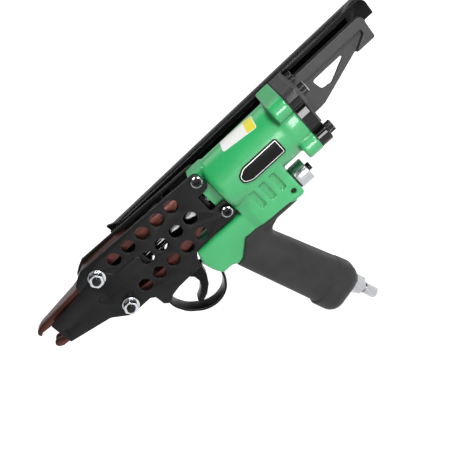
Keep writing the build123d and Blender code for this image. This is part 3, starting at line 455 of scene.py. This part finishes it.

# Side plates: two cut steel plates with three rows of lightening holes and a shallow seam line, round a
# nose block. They are blackened and waxed, so the flats are satin, and the cut edges are painted pale,
# partly as rubbed wear and partly as a painted highlight line.
black_steel, tree, place = new_finish("blackened_steel")
cloud = add(tree, "TexNoise", {"Vector": place, "Scale": per_mm(14.0), "Detail": 4.0})
share = add(tree, "MapRange", {"Value": cloud, "From Min": 0.3, "From Max": 0.7})
tone = add(tree, "Mix", {0: share, 6: linear("#0D0D0E"), 7: linear("#171718")}, 2, data_type="RGBA")
# Pale edges: partly rubbed wear, partly a painted highlight line
rub_and_highlight = edge_rub_and_highlight(tree, 0.35, 0.7)
colour = add(tree, "Mix", {0: rub_and_highlight, 6: tone, 7: linear("#77777A")}, 2, data_type="RGBA")
grit = add(tree, "TexNoise", {"Vector": place, "Scale": per_mm(2.2), "Detail": 5.0})
rough = add(tree, "MapRange", {"Value": grit, "To Min": 0.34, "To Max": 0.50})
normal = add(tree, "Bump", {"Height": grit, "Distance": 0.02 * MM, "Strength": 0.4})
shader = add(tree, "BsdfPrincipled", {
    "Base Color": colour, "Metallic": 0.2, "Roughness": rough, "Specular IOR Level": 0.2, "Normal": normal,
})
add(tree, "OutputMaterial", {"Surface": shader}, None)
for node in ("left_side_plate", "right_side_plate"):
    plate = eased(node, node + "_cut", width_mm=0.35)
    stand_for(plate, node, "frame", "black_steel", black_steel)
dress(black_steel, "nose_block", "nose_block_pins", "trigger_pin", "trigger_stop_pin", "guard_rivet")

# Jaws: two forged levers with hooked noses, hardened and oiled to a red brown, on sleeves between the
# plates. The temper colour is streaky along the bar, and the edges are painted pale, partly as wear and
# partly as a painted highlight line.
jaw_steel, tree, place = new_finish("oil_tempered_steel")
drawn = add(tree, "Mapping", {"Vector": place, "Scale": (0.2, 1.0, 1.0)})
streak = add(tree, "TexNoise", {"Vector": drawn, "Scale": per_mm(5.0), "Detail": 4.0})
share = add(tree, "MapRange", {"Value": streak, "From Min": 0.3, "From Max": 0.7})
tone = add(tree, "Mix", {0: share, 6: linear("#35150F"), 7: linear("#5E2C22")}, 2, data_type="RGBA")
# Pale edges: partly worn steel, partly a painted highlight line
rub_and_highlight = edge_rub_and_highlight(tree, 0.6, 0.6)
colour = add(tree, "Mix", {0: rub_and_highlight, 6: tone, 7: linear("#B97F5C")}, 2, data_type="RGBA")
scale = add(tree, "TexNoise", {"Vector": drawn, "Scale": per_mm(0.9), "Detail": 4.0})
rough = add(tree, "MapRange", {"Value": scale, "To Min": 0.26, "To Max": 0.42})
normal = add(tree, "Bump", {"Height": scale, "Distance": 0.02 * MM, "Strength": 0.5})
shader = add(tree, "BsdfPrincipled", {
    "Base Color": colour, "Metallic": 0.6, "Roughness": rough, "Normal": normal,
})
add(tree, "OutputMaterial", {"Surface": shader}, None)
for node in ("upper_jaw", "lower_jaw"):
    jaw = eased(node, node + "_forged", width_mm=0.5)
    stand_for(jaw, node, node, "jaw_steel", jaw_steel)

# Ground steel: bright rollers, pins and sleeves, with grinding lines round them drawn coarse enough to show
ground_steel, tree, place = new_finish("ground_steel")
drawn = add(tree, "Mapping", {"Vector": place, "Scale": (0.12, 1.0, 0.12)})
lines = add(tree, "TexNoise", {"Vector": drawn, "Scale": per_mm(0.5), "Detail": 2.0})
colour = add(tree, "Mix", {0: lines, 6: linear("#85868A"), 7: linear("#B2B3B6")}, 2, data_type="RGBA")
rough = add(tree, "MapRange", {"Value": lines, "To Min": 0.22, "To Max": 0.36})
normal = add(tree, "Bump", {"Height": lines, "Distance": 0.008 * MM, "Strength": 0.5})
shader = add(tree, "BsdfPrincipled", {
    "Base Color": colour, "Metallic": 1.0, "Roughness": rough, "Normal": normal,
})
add(tree, "OutputMaterial", {"Surface": shader}, None)
dress(ground_steel, "upper_roller", "lower_roller", "upper_roller_pin", "lower_roller_pin", "pivot_sleeves")

# Jaw springs: two fine coils beside the pilot that draw the lever ends together.
# The two coils on each side are joined to one piece named after its lever.
JAW_SPRING = {"mean_r": 0.55 * MM, "wire_r": 0.15 * MM, "length": 10.4 * MM, "turns": 18}
JAW_SPRING_X = 114.5 * MM
JAW_SPRING_Y = 6.7 * MM
for side, body_name in ((1, "upper_jaw"), (-1, "lower_jaw")):
    halves = []
    upright = Matrix.Rotation(-side * math.pi / 2, 4, "Y")
    for y in (-JAW_SPRING_Y, JAW_SPRING_Y):
        half = coil("jaw_spring", **JAW_SPRING, steps=12)
        half.data.transform(Matrix.Translation((JAW_SPRING_X, y, 0.0)) @ upright)
        halves.append(half)
    focus(halves[0])
    halves[1].select_set(True)
    bpy.ops.object.join()
    halves[0].name = body_name + "_springs"
    halves[0].data.materials.append(spring_wire)
    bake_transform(halves[0])
    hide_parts("jaw_springs")

# Pivot hardware: bright zinc-plated nuts and washers on blacked bolts that carry the jaws.
# The plating is glossy with a faint cloud of passivation, and painted shade darkens the corners and
# sockets.
zinc, tree, place = new_finish("bright_zinc_plate")
cloud = add(tree, "TexNoise", {"Vector": place, "Scale": per_mm(2.5), "Detail": 3.0})
tone = add(tree, "Mix", {0: cloud, 6: linear("#A2A5A9"), 7: linear("#CDCFD2")}, 2, data_type="RGBA")
# Painted shade: ambient occlusion darkens sockets and corners nearly to black
shade_ao = add(tree, "AmbientOcclusion", {"Distance": 2.5 * MM}, "AO", samples=6, only_local=True)
unshaded_share = add(tree, "MapRange", {"Value": shade_ao, "From Min": 0.35, "From Max": 0.80})
colour = add(tree, "Mix", {0: unshaded_share, 6: linear("#1A1A1B"), 7: tone}, 2, data_type="RGBA")
rough = add(tree, "MapRange", {"Value": cloud, "To Min": 0.12, "To Max": 0.26})
grain = add(tree, "TexNoise", {"Vector": place, "Scale": per_mm(0.8), "Detail": 2.0})
normal = add(tree, "Bump", {"Height": grain, "Distance": 0.008 * MM, "Strength": 0.4})
shader = add(tree, "BsdfPrincipled", {
    "Base Color": colour, "Metallic": 1.0, "Roughness": rough, "Normal": normal,
})
add(tree, "OutputMaterial", {"Surface": shader}, None)
for node in ("pivot_nuts", "pivot_washers"):
    fastener = eased(node, node + "_plated", width_mm=0.25)
    stand_for(fastener, node, "frame", "zinc", zinc)
bolts = eased("pivot_bolts", "pivot_bolts_blacked", width_mm=0.3)
stand_for(bolts, "pivot_bolts", "frame", "black_screw", black_oxide)

# Socket screws: M5, black, with a knurled head and a rim that is rubbed bright. Two clamp both plates on
# the body's boss, and four hold the cap: the upper two on the rear bracket's foot, one on the cap and one
# sunk in it.
HEAD_R = 4.25 * MM
HEAD_T = 5.0 * MM
HEAD_RIM = 0.5 * MM
HEAD_TOP_SHARE = 0.82
RIM_NORMALS = (0.2, 0.95)
END_NORMAL = 0.9
KNURL_CORNERS = 56
KNURL_SHARE = 0.95
SHANK_R = 2.5 * MM
SOCKET_FLATS = 4.0 * MM
PLATE_SCREWS_XZ = ((172.6 * MM, 18.2 * MM), (172.6 * MM, -13.3 * MM))
PLATE_SCREW_SEAT_Y = 10.5 * MM
PLATE_SCREW_SHANK = 21.0 * MM
CAP_SCREW_AT = 16.5 * MM
CAP_SEAT_X = 261.5 * MM
BRACKET_SEAT_X = 264.0 * MM
CAP_SCREW_END_X = 241.2 * MM


def choose(kind, test):
    """In edit mode, select the active piece's faces or vertices that pass a test."""
    mesh = bpy.context.object.data
    bpy.ops.mesh.select_mode(type=kind)
    bpy.ops.mesh.select_all(action="DESELECT")
    bpy.ops.object.mode_set(mode="OBJECT")
    for item in mesh.polygons if kind == "FACE" else mesh.vertices:
        item.select = test(item)
    bpy.ops.object.mode_set(mode="EDIT")


def socket_screw(shank):
    """A knurled socket-head screw that stands on the origin with its head up and its shank down."""
    bpy.ops.object.select_all(action="DESELECT")
    knurled = HEAD_T - HEAD_RIM
    bpy.ops.mesh.primitive_cylinder_add(
        vertices=KNURL_CORNERS, radius=HEAD_R, depth=knurled, location=(0, 0, knurled / 2),
    )
    screw = bpy.context.object
    bpy.ops.object.transform_apply(location=True)
    bpy.ops.object.mode_set(mode="EDIT")
    corner = 2 * math.pi / KNURL_CORNERS
    choose("VERT", lambda v: round(math.atan2(v.co.y, v.co.x) / corner) % 2)
    bpy.ops.transform.resize(value=(KNURL_SHARE, KNURL_SHARE, 1.0), center_override=(0, 0, 0))
    choose("FACE", lambda f: f.normal.z > END_NORMAL)
    bpy.ops.mesh.extrude_region_move(TRANSFORM_OT_translate={"value": (0, 0, HEAD_RIM)})
    bpy.ops.transform.resize(value=(HEAD_TOP_SHARE, HEAD_TOP_SHARE, 1.0), center_override=(0, 0, HEAD_T))
    choose("FACE", lambda f: f.normal.z < -END_NORMAL)
    bpy.ops.mesh.extrude_region_move(TRANSFORM_OT_translate={"value": (0, 0, 0)})
    bpy.ops.transform.resize(value=(SHANK_R / HEAD_R, SHANK_R / HEAD_R, 1.0), center_override=(0, 0, 0))
    bpy.ops.mesh.extrude_region_move(TRANSFORM_OT_translate={"value": (0, 0, -shank)})
    bpy.ops.object.mode_set(mode="OBJECT")
    bpy.ops.mesh.primitive_cylinder_add(
        vertices=6, radius=SOCKET_FLATS / math.sqrt(3), depth=HEAD_T, location=(0, 0, HEAD_T),
    )
    key = bpy.context.object
    focus(screw)
    modify("BOOLEAN", object=key, operation="DIFFERENCE", solver="EXACT")
    bpy.data.objects.remove(key)
    screw.data.materials.append(black_oxide)
    screw.data.materials.append(zinc)
    for face in screw.data.polygons:
        face.material_index = int(RIM_NORMALS[0] < face.normal.z < RIM_NORMALS[1])
    bpy.ops.object.shade_smooth_by_angle(angle=math.radians(20))
    return screw


def set_out(name, screws):
    """Join screws to one piece, each of them with a turn and the place where its head sits."""
    for screw, turn, where in screws:
        screw.data.transform(Matrix.Translation(where) @ turn)
    focus(screws[0][0])
    for screw, *_ in screws:
        screw.select_set(True)
    bpy.ops.object.join()
    screws[0][0].name = name
    return screws[0][0]


screws = []
for x, z in PLATE_SCREWS_XZ:
    turn = Matrix.Rotation(math.pi / 2, 4, "X")
    screws.append((socket_screw(PLATE_SCREW_SHANK), turn, (x, -PLATE_SCREW_SEAT_Y, z)))
plate_screws = set_out("plate_screws_knurled", screws)
stand_for(plate_screws, "plate_screws", "frame", "zinc")
screws = []
for y in (-CAP_SCREW_AT, CAP_SCREW_AT):
    for z in (-CAP_SCREW_AT, CAP_SCREW_AT):
        seat = BRACKET_SEAT_X if z > 0 else CAP_SEAT_X
        if y > 0 > z:
            seat -= HEAD_T
        turn = Matrix.Rotation(math.pi / 2, 4, "Y")
        screws.append((socket_screw(seat - CAP_SCREW_END_X), turn, (seat, y, z)))
cap_screws = set_out("cap_screws_knurled", screws)
stand_for(cap_screws, "cap_screws", "frame", "black_screw")

# Trigger and guard: a cut steel finger lever with a torsion spring on its pin, and a bent steel strap round
# it. Both are stoved black, and their edges and bends are painted pale, partly as wear and partly as a
# painted highlight line.
TRIGGER_SPRING = {"mean_r": 2.95 * MM, "wire_r": 0.5 * MM, "length": 2.7 * MM, "turns": 2}
TRIGGER_SPRING_AT = (126.4 * MM, 4.9 * MM, -30.2 * MM)
black_enamel, tree, place = new_finish("black_stoving_enamel")
cloud = add(tree, "TexNoise", {"Vector": place, "Scale": per_mm(8.0), "Detail": 3.0})
tone = add(tree, "Mix", {0: cloud, 6: linear("#070708"), 7: linear("#0F0F10")}, 2, data_type="RGBA")
# Pale edges: partly rubbed enamel, partly a painted highlight line
rub_and_highlight = edge_rub_and_highlight(tree, 0.6, 0.8)
colour = add(tree, "Mix", {0: rub_and_highlight, 6: tone, 7: linear("#8A8A8D")}, 2, data_type="RGBA")
grain = add(tree, "TexNoise", {"Vector": place, "Scale": per_mm(1.6), "Detail": 3.0})
rough = add(tree, "MapRange", {"Value": grain, "To Min": 0.22, "To Max": 0.32})
normal = add(tree, "Bump", {"Height": grain, "Distance": 0.02 * MM, "Strength": 0.2})
shader = add(tree, "BsdfPrincipled", {
    "Base Color": colour, "Roughness": rough, "Specular IOR Level": 0.1, "Normal": normal,
})
add(tree, "OutputMaterial", {"Surface": shader}, None)
trigger = eased("trigger", "trigger_lever", width_mm=0.6)
stand_for(trigger, "trigger", "trigger", "black_steel", black_enamel)
spring = coil("trigger_spring_coil", **TRIGGER_SPRING)
spring.data.transform(Matrix.Translation(TRIGGER_SPRING_AT) @ Matrix.Rotation(math.pi / 2, 4, "Z"))
stand_for(spring, "trigger_spring", "frame", "spring_steel", spring_wire)
guard = eased("trigger_guard", "trigger_guard_strap", width_mm=0.45)
stand_for(guard, "trigger_guard", "frame", "black_steel", black_enamel)
screw = eased("guard_screw", "guard_screw_blacked", width_mm=0.4)
stand_for(screw, "guard_screw", "frame", "black_screw", black_oxide)

# Magazine: a folded steel channel on the right side, with the ring chute in front of it and the pusher
# inside. It is stoved black like the guard, with the same painted highlight line, partly wear, along its
# folds.
# The ledges beside the fin's slot are 0.4 mm wide, so their edges are eased by less than half of that.
SHEET_EASE = 0.35
LEDGE_EASE = 0.18
for node in ("magazine_channel", "feed_chute", "magazine_front_bracket"):
    sheet = eased(node, node + "_folded", LEDGE_EASE if node == "magazine_channel" else SHEET_EASE)
    stand_for(sheet, node, "frame", "black_steel", black_enamel)
pusher = eased("ring_pusher", "ring_pusher_slide", LEDGE_EASE)
stand_for(pusher, "ring_pusher", "pusher", "black_steel", black_enamel)
dress(spring_wire, "pusher_spring")

# Rear bracket: a cast gusset that clamps under the cap screws and carries the magazine's tail.
# It is painted dark grey, with soft cast corners, edges painted pale partly as wear and partly as a painted
# highlight line, and a shallow pocket round its window.
BRACKET_VOXEL = 0.5 * MM
BRACKET_ROUNDS = 2
grey_paint, tree, place = new_finish("grey_painted_casting")
cloud = add(tree, "TexNoise", {"Vector": place, "Scale": per_mm(7.0), "Detail": 3.0})
tone = add(tree, "Mix", {0: cloud, 6: linear("#2B2B2C"), 7: linear("#3A3A3B")}, 2, data_type="RGBA")
# Pale edges: partly rubbed paint, partly a painted highlight line
rub_and_highlight = edge_rub_and_highlight(tree, 0.7, 0.35)
colour = add(tree, "Mix", {0: rub_and_highlight, 6: tone, 7: linear("#858588")}, 2, data_type="RGBA")
grain = add(tree, "TexNoise", {"Vector": place, "Scale": per_mm(1.2), "Detail": 4.0})
rough = add(tree, "MapRange", {"Value": grain, "To Min": 0.38, "To Max": 0.54})
normal = add(tree, "Bump", {"Height": grain, "Distance": 0.05 * MM, "Strength": 0.5})
shader = add(tree, "BsdfPrincipled", {"Base Color": colour, "Roughness": rough, "Normal": normal})
add(tree, "OutputMaterial", {"Surface": shader}, None)
bracket = cad_copy("magazine_rear_bracket", "rear_bracket_cast")
modify("REMESH", mode="VOXEL", voxel_size=BRACKET_VOXEL)
soften(BRACKET_ROUNDS)
bpy.ops.object.shade_smooth()
stand_for(bracket, "magazine_rear_bracket", "frame", "grey_steel", grey_paint)
dress(grey_paint, "magazine_end_block")

# Name plate: a thin aluminium plate with a blunt point, bent to the barrel and stuck to its left side.
# It is anodised black, with a raised bright line inside its margin, and carries nothing else.
BARREL_R = 21.8 * MM
BEND_STEP = 0.8 * MM
NAME_X = (195.8 * MM, 232.0 * MM)
NAME_HALF_H = (2.8 * MM, 6.3 * MM)
NAME_POINT = 6.0 * MM
NAME_ROUND = 2.2 * MM
NAME_T = 0.8 * MM
NAME_MARGIN = 1.1 * MM
NAME_LINE = 0.5 * MM
NAME_LINE_RISE = 0.12 * MM


def flat_sheet(name, length, height, rise):
    """A flat sheet in X and Y round the origin, lifted by a rise and left in edit mode, all selected."""
    bpy.ops.object.select_all(action="DESELECT")
    bpy.ops.mesh.primitive_plane_add(size=1.0)
    sheet = bpy.context.object
    sheet.name = name
    bpy.ops.object.mode_set(mode="EDIT")
    bpy.ops.transform.resize(value=(length, height, 1.0), center_override=(0, 0, 0))
    bpy.ops.transform.translate(value=(0, 0, rise))
    return sheet


def bend_on_barrel(thick):
    """Thicken the active flat sheet and bend it round the barrel: Y becomes arc, and Z stands off it."""
    mesh = bpy.context.object.data
    low = min(v.co.y for v in mesh.vertices)
    high = max(v.co.y for v in mesh.vertices)
    bpy.ops.object.mode_set(mode="EDIT")
    for k in range(1, math.ceil((high - low) / BEND_STEP)):
        bpy.ops.mesh.select_all(action="SELECT")
        bpy.ops.mesh.bisect(plane_co=(0, low + k * BEND_STEP, 0), plane_no=(0, 1, 0))
    bpy.ops.object.mode_set(mode="OBJECT")
    modify("SOLIDIFY", thickness=thick, offset=-1.0)
    for v in mesh.vertices:
        angle = v.co.y / BARREL_R
        out = BARREL_R + v.co.z
        v.co = (v.co.x, -out * math.cos(angle), out * math.sin(angle))
    bpy.ops.object.shade_smooth_by_angle(angle=math.radians(25))


# Black anodised aluminium: a dense satin black
anodised, tree, place = new_finish("black_anodised_aluminium")
grain = add(tree, "TexNoise", {"Vector": place, "Scale": per_mm(1.0), "Detail": 3.0})
colour = add(tree, "Mix", {0: grain, 6: linear("#070708"), 7: linear("#101012")}, 2, data_type="RGBA")
rough = add(tree, "MapRange", {"Value": grain, "To Min": 0.22, "To Max": 0.36})
normal = add(tree, "Bump", {"Height": grain, "Distance": 0.01 * MM, "Strength": 0.3})
shader = add(tree, "BsdfPrincipled", {
    "Base Color": colour, "Roughness": rough, "Specular IOR Level": 0.12, "Normal": normal,
})
add(tree, "OutputMaterial", {"Surface": shader}, None)

# Bare line: the same aluminium, cut bright and matt so that it reads pale from every side
bare_line, tree, place = new_finish("bare_aluminium_line")
grain = add(tree, "TexNoise", {"Vector": place, "Scale": per_mm(0.6), "Detail": 2.0})
colour = add(tree, "Mix", {0: grain, 6: linear("#D2D3D5"), 7: linear("#EDEDEE")}, 2, data_type="RGBA")
rough = add(tree, "MapRange", {"Value": grain, "To Min": 0.35, "To Max": 0.50})
normal = add(tree, "Bump", {"Height": grain, "Distance": 0.01 * MM, "Strength": 0.3})
shader = add(tree, "BsdfPrincipled", {
    "Base Color": colour, "Metallic": 0.5, "Roughness": rough, "Normal": normal,
})
add(tree, "OutputMaterial", {"Surface": shader}, None)

name_middle = (NAME_X[0] + NAME_X[1]) / 2
name_plate = flat_sheet("name_plate_blank", NAME_X[1] - NAME_X[0], 2 * NAME_HALF_H[1], NAME_T)
bpy.ops.transform.translate(value=(name_middle, 0, 0))
name_plate.data.materials.append(anodised)
name_plate.data.materials.append(bare_line)
for side in (-1, 1):
    bpy.ops.mesh.select_all(action="SELECT")
    bpy.ops.mesh.bisect(
        plane_co=(NAME_X[0], side * NAME_HALF_H[0], NAME_T), clear_outer=True,
        plane_no=Vector((NAME_HALF_H[0] - NAME_HALF_H[1], side * NAME_POINT, 0)).normalized(),
    )
bpy.ops.mesh.select_all(action="SELECT")
bpy.ops.mesh.bevel(offset=NAME_ROUND, segments=5, affect="VERTICES")
bpy.ops.mesh.select_all(action="SELECT")
bpy.ops.mesh.inset(thickness=NAME_MARGIN)
bpy.ops.mesh.inset(thickness=NAME_LINE, use_select_inset=True)
name_plate.active_material_index = 1
bpy.ops.object.material_slot_assign()
bpy.ops.mesh.extrude_region_move(TRANSFORM_OT_translate={"value": (0, 0, NAME_LINE_RISE)})
bpy.ops.object.mode_set(mode="OBJECT")
bend_on_barrel(NAME_T)
stand_for(name_plate, "name_plate", "frame", "black_steel")

# Sticker: a blank white label with a yellow end, stuck a little askew on top of the barrel.
# It is laminated paper, white all round the yellow, with nothing printed on it.
LABEL_SIZE = (28.3 * MM, 13.8 * MM)
LABEL_T = 0.12 * MM
LABEL_ROUND = 1.6 * MM
LABEL_BORDER = 0.6 * MM
LABEL_YELLOW = 7.0 * MM
LABEL_AT = (214.6 * MM, 28.5 * MM)
LABEL_TILT = math.radians(-7.2)
papers = []
for name, low, high in (
    ("white_label_paper", "#E4E4E2", "#F2F2F0"),
    ("yellow_label_paper", "#DDCF1E", "#EADF3A"),
):
    paper, tree, place = new_finish(name)
    fibre = add(tree, "TexNoise", {"Vector": place, "Scale": per_mm(0.7), "Detail": 4.0})
    colour = add(tree, "Mix", {0: fibre, 6: linear(low), 7: linear(high)}, 2, data_type="RGBA")
    rough = add(tree, "MapRange", {"Value": fibre, "To Min": 0.35, "To Max": 0.50})
    normal = add(tree, "Bump", {"Height": fibre, "Distance": 0.01 * MM, "Strength": 0.3})
    shader = add(tree, "BsdfPrincipled", {
        "Base Color": colour, "Roughness": rough, "Coat Weight": 0.2, "Coat Roughness": 0.2,
        "Normal": normal,
    })
    add(tree, "OutputMaterial", {"Surface": shader}, None)
    papers.append(paper)
label = flat_sheet("barrel_sticker", *LABEL_SIZE, LABEL_T)
for paper in papers:
    label.data.materials.append(paper)
bpy.ops.mesh.bevel(offset=LABEL_ROUND, segments=5, affect="VERTICES")
bpy.ops.mesh.select_all(action="SELECT")
bpy.ops.mesh.inset(thickness=LABEL_BORDER)
yellow_from = LABEL_SIZE[0] / 2 - LABEL_BORDER - LABEL_YELLOW
bpy.ops.mesh.bisect(plane_co=(yellow_from, 0, LABEL_T), plane_no=(1, 0, 0))
inner_x, inner_y = [size / 2 - LABEL_BORDER for size in LABEL_SIZE]
choose("FACE", lambda f: yellow_from < f.center.x < inner_x and abs(f.center.y) < inner_y / 2)
label.active_material_index = 1
bpy.ops.object.material_slot_assign()
bpy.ops.object.mode_set(mode="OBJECT")
label.data.transform(Matrix.Translation((*LABEL_AT, 0.0)) @ Matrix.Rotation(LABEL_TILT, 4, "Z"))
bend_on_barrel(LABEL_T)
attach(label, "frame")

# Floor and light: a white paper floor under the tool, a soft box above its tail, a fill, a rim, a small
# strip and a tall card in front, which only gives highlights.
# Mirror-like surfaces see a room that is white behind the tool, and dim overhead and on the camera's side.
FLOOR_SIZE = 6.0
FLOOR_X = 0.17
FLOOR_GAP = 0.3 * MM
FLOOR_LIFT = 0.84
ROOM_LIGHT = 0.20
ROOM_CEILING = 0.15
ROOM_FRONT = 0.10
LAMPS_AIM = Vector((0.16, 0.0, -0.03))
RAYS = ("Is Camera Ray", "Is Glossy Ray", "Is Transmission Ray")
bpy.ops.object.select_all(action="DESELECT")
bpy.ops.mesh.primitive_plane_add(size=FLOOR_SIZE, location=(FLOOR_X, 0.0, cad_low.z - FLOOR_GAP))
floor = bpy.context.object
floor.name = "studio_floor"
paper, tree, place = new_finish("studio_paper")
camera_ray, glossy_ray, clear_ray = [add(tree, "LightPath", {}, ray) for ray in RAYS]
seen = add(tree, "Math", {0: camera_ray, 1: glossy_ray}, operation="MAXIMUM")
seen = add(tree, "Math", {0: seen, 1: clear_ray}, operation="MAXIMUM")
lift = add(tree, "Math", {0: seen, 1: FLOOR_LIFT}, operation="MULTIPLY")
matt = add(tree, "BsdfDiffuse", {"Color": linear("#EFEFEF")})
glow = add(tree, "Emission", {"Color": linear("#FFFFFF"), "Strength": lift})
both = add(tree, "AddShader", {0: matt, 1: glow})
add(tree, "OutputMaterial", {"Surface": both}, None)
floor.data.materials.append(paper)
floor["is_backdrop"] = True

world = bpy.data.worlds.new("studio")
scene.world = world
world.use_nodes = True
tree = world.node_tree
tree.nodes.clear()
toward = add(tree, "TexCoord", {}, "Generated")
across = add(tree, "SeparateXYZ", {0: toward}, "Y")
height = add(tree, "SeparateXYZ", {0: toward}, "Z")
wall = add(tree, "MapRange", {"Value": across, "From Min": -0.6, "From Max": 0.5, "To Min": ROOM_FRONT})
over = add(tree, "MapRange", {"Value": height, "From Max": 0.45, "To Min": 1.0, "To Max": ROOM_CEILING})
room = add(tree, "Math", {0: wall, 1: over}, operation="MULTIPLY")
camera_ray, glossy_ray, clear_ray = [add(tree, "LightPath", {}, ray) for ray in RAYS]
mirrored = add(tree, "Math", {0: glossy_ray, 1: clear_ray}, operation="MAXIMUM")
level = add(tree, "Mix", {0: mirrored, 2: ROOM_LIGHT, 3: room})
level = add(tree, "Math", {0: level, 1: camera_ray}, operation="MAXIMUM")
sky = add(tree, "Background", {"Color": linear("#FFFFFF"), "Strength": level})
add(tree, "OutputWorld", {"Surface": sky}, None)

for name, where, width, tall, watts in (
    ("soft_box", (0.62, -0.57, 0.56), 0.25, 0.25, 6.6),
    ("side_fill", (-0.05, -0.75, 0.30), 0.60, 0.60, 0.6),
    ("back_rim", (0.10, 0.55, 0.75), 0.50, 0.50, 1.2),
    ("small_strip", (0.35, -0.62, 0.55), 0.16, 0.16, 0.5),
    ("front_card", (0.28, -0.85, 0.10), 0.10, 0.34, 3.0),
):
    lamp = bpy.data.lights.new(name, "AREA")
    lamp.shape = "RECTANGLE"
    lamp.size = width
    lamp.size_y = tall
    lamp.energy = watts
    holder = bpy.data.objects.new(name, lamp)
    holder.visible_diffuse = name != "front_card"
    scene.collection.objects.link(holder)
    aim = (LAMPS_AIM - Vector(where)).to_track_quat("-Z", "Y")
    holder.matrix_world = Matrix.Translation(where) @ aim.to_matrix().to_4x4()

# Camera: on the tool's left and above it, rolled so that the nose points down to the left.
# Its place, turn and lens are fitted to the rows of holes, the flange, the cap and the grip.
CAMERA_AT = (0.2422, -0.4012, 0.1602)
CAMERA_LENS = 46.76
AZIMUTH = math.radians(11.4)
ELEVATION = math.radians(25.87)
ROLL = math.radians(-46.83)
back = Vector((
    math.sin(AZIMUTH) * math.cos(ELEVATION), -math.cos(AZIMUTH) * math.cos(ELEVATION), math.sin(ELEVATION),
))
level_right = Vector((math.cos(AZIMUTH), math.sin(AZIMUTH), 0.0))
level_up = back.cross(level_right)
right = level_right * math.cos(ROLL) + level_up * math.sin(ROLL)
up = level_up * math.cos(ROLL) - level_right * math.sin(ROLL)
camera = bpy.data.objects.new("camera", bpy.data.cameras.new("camera"))
camera.data.lens = CAMERA_LENS
camera.data.sensor_width = 36.0
camera.data.clip_start = 0.01
turned = Matrix((right, up, back)).transposed().to_4x4()
camera.matrix_world = Matrix.Translation(CAMERA_AT) @ turned
scene.collection.objects.link(camera)
scene.camera = camera

low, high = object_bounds()
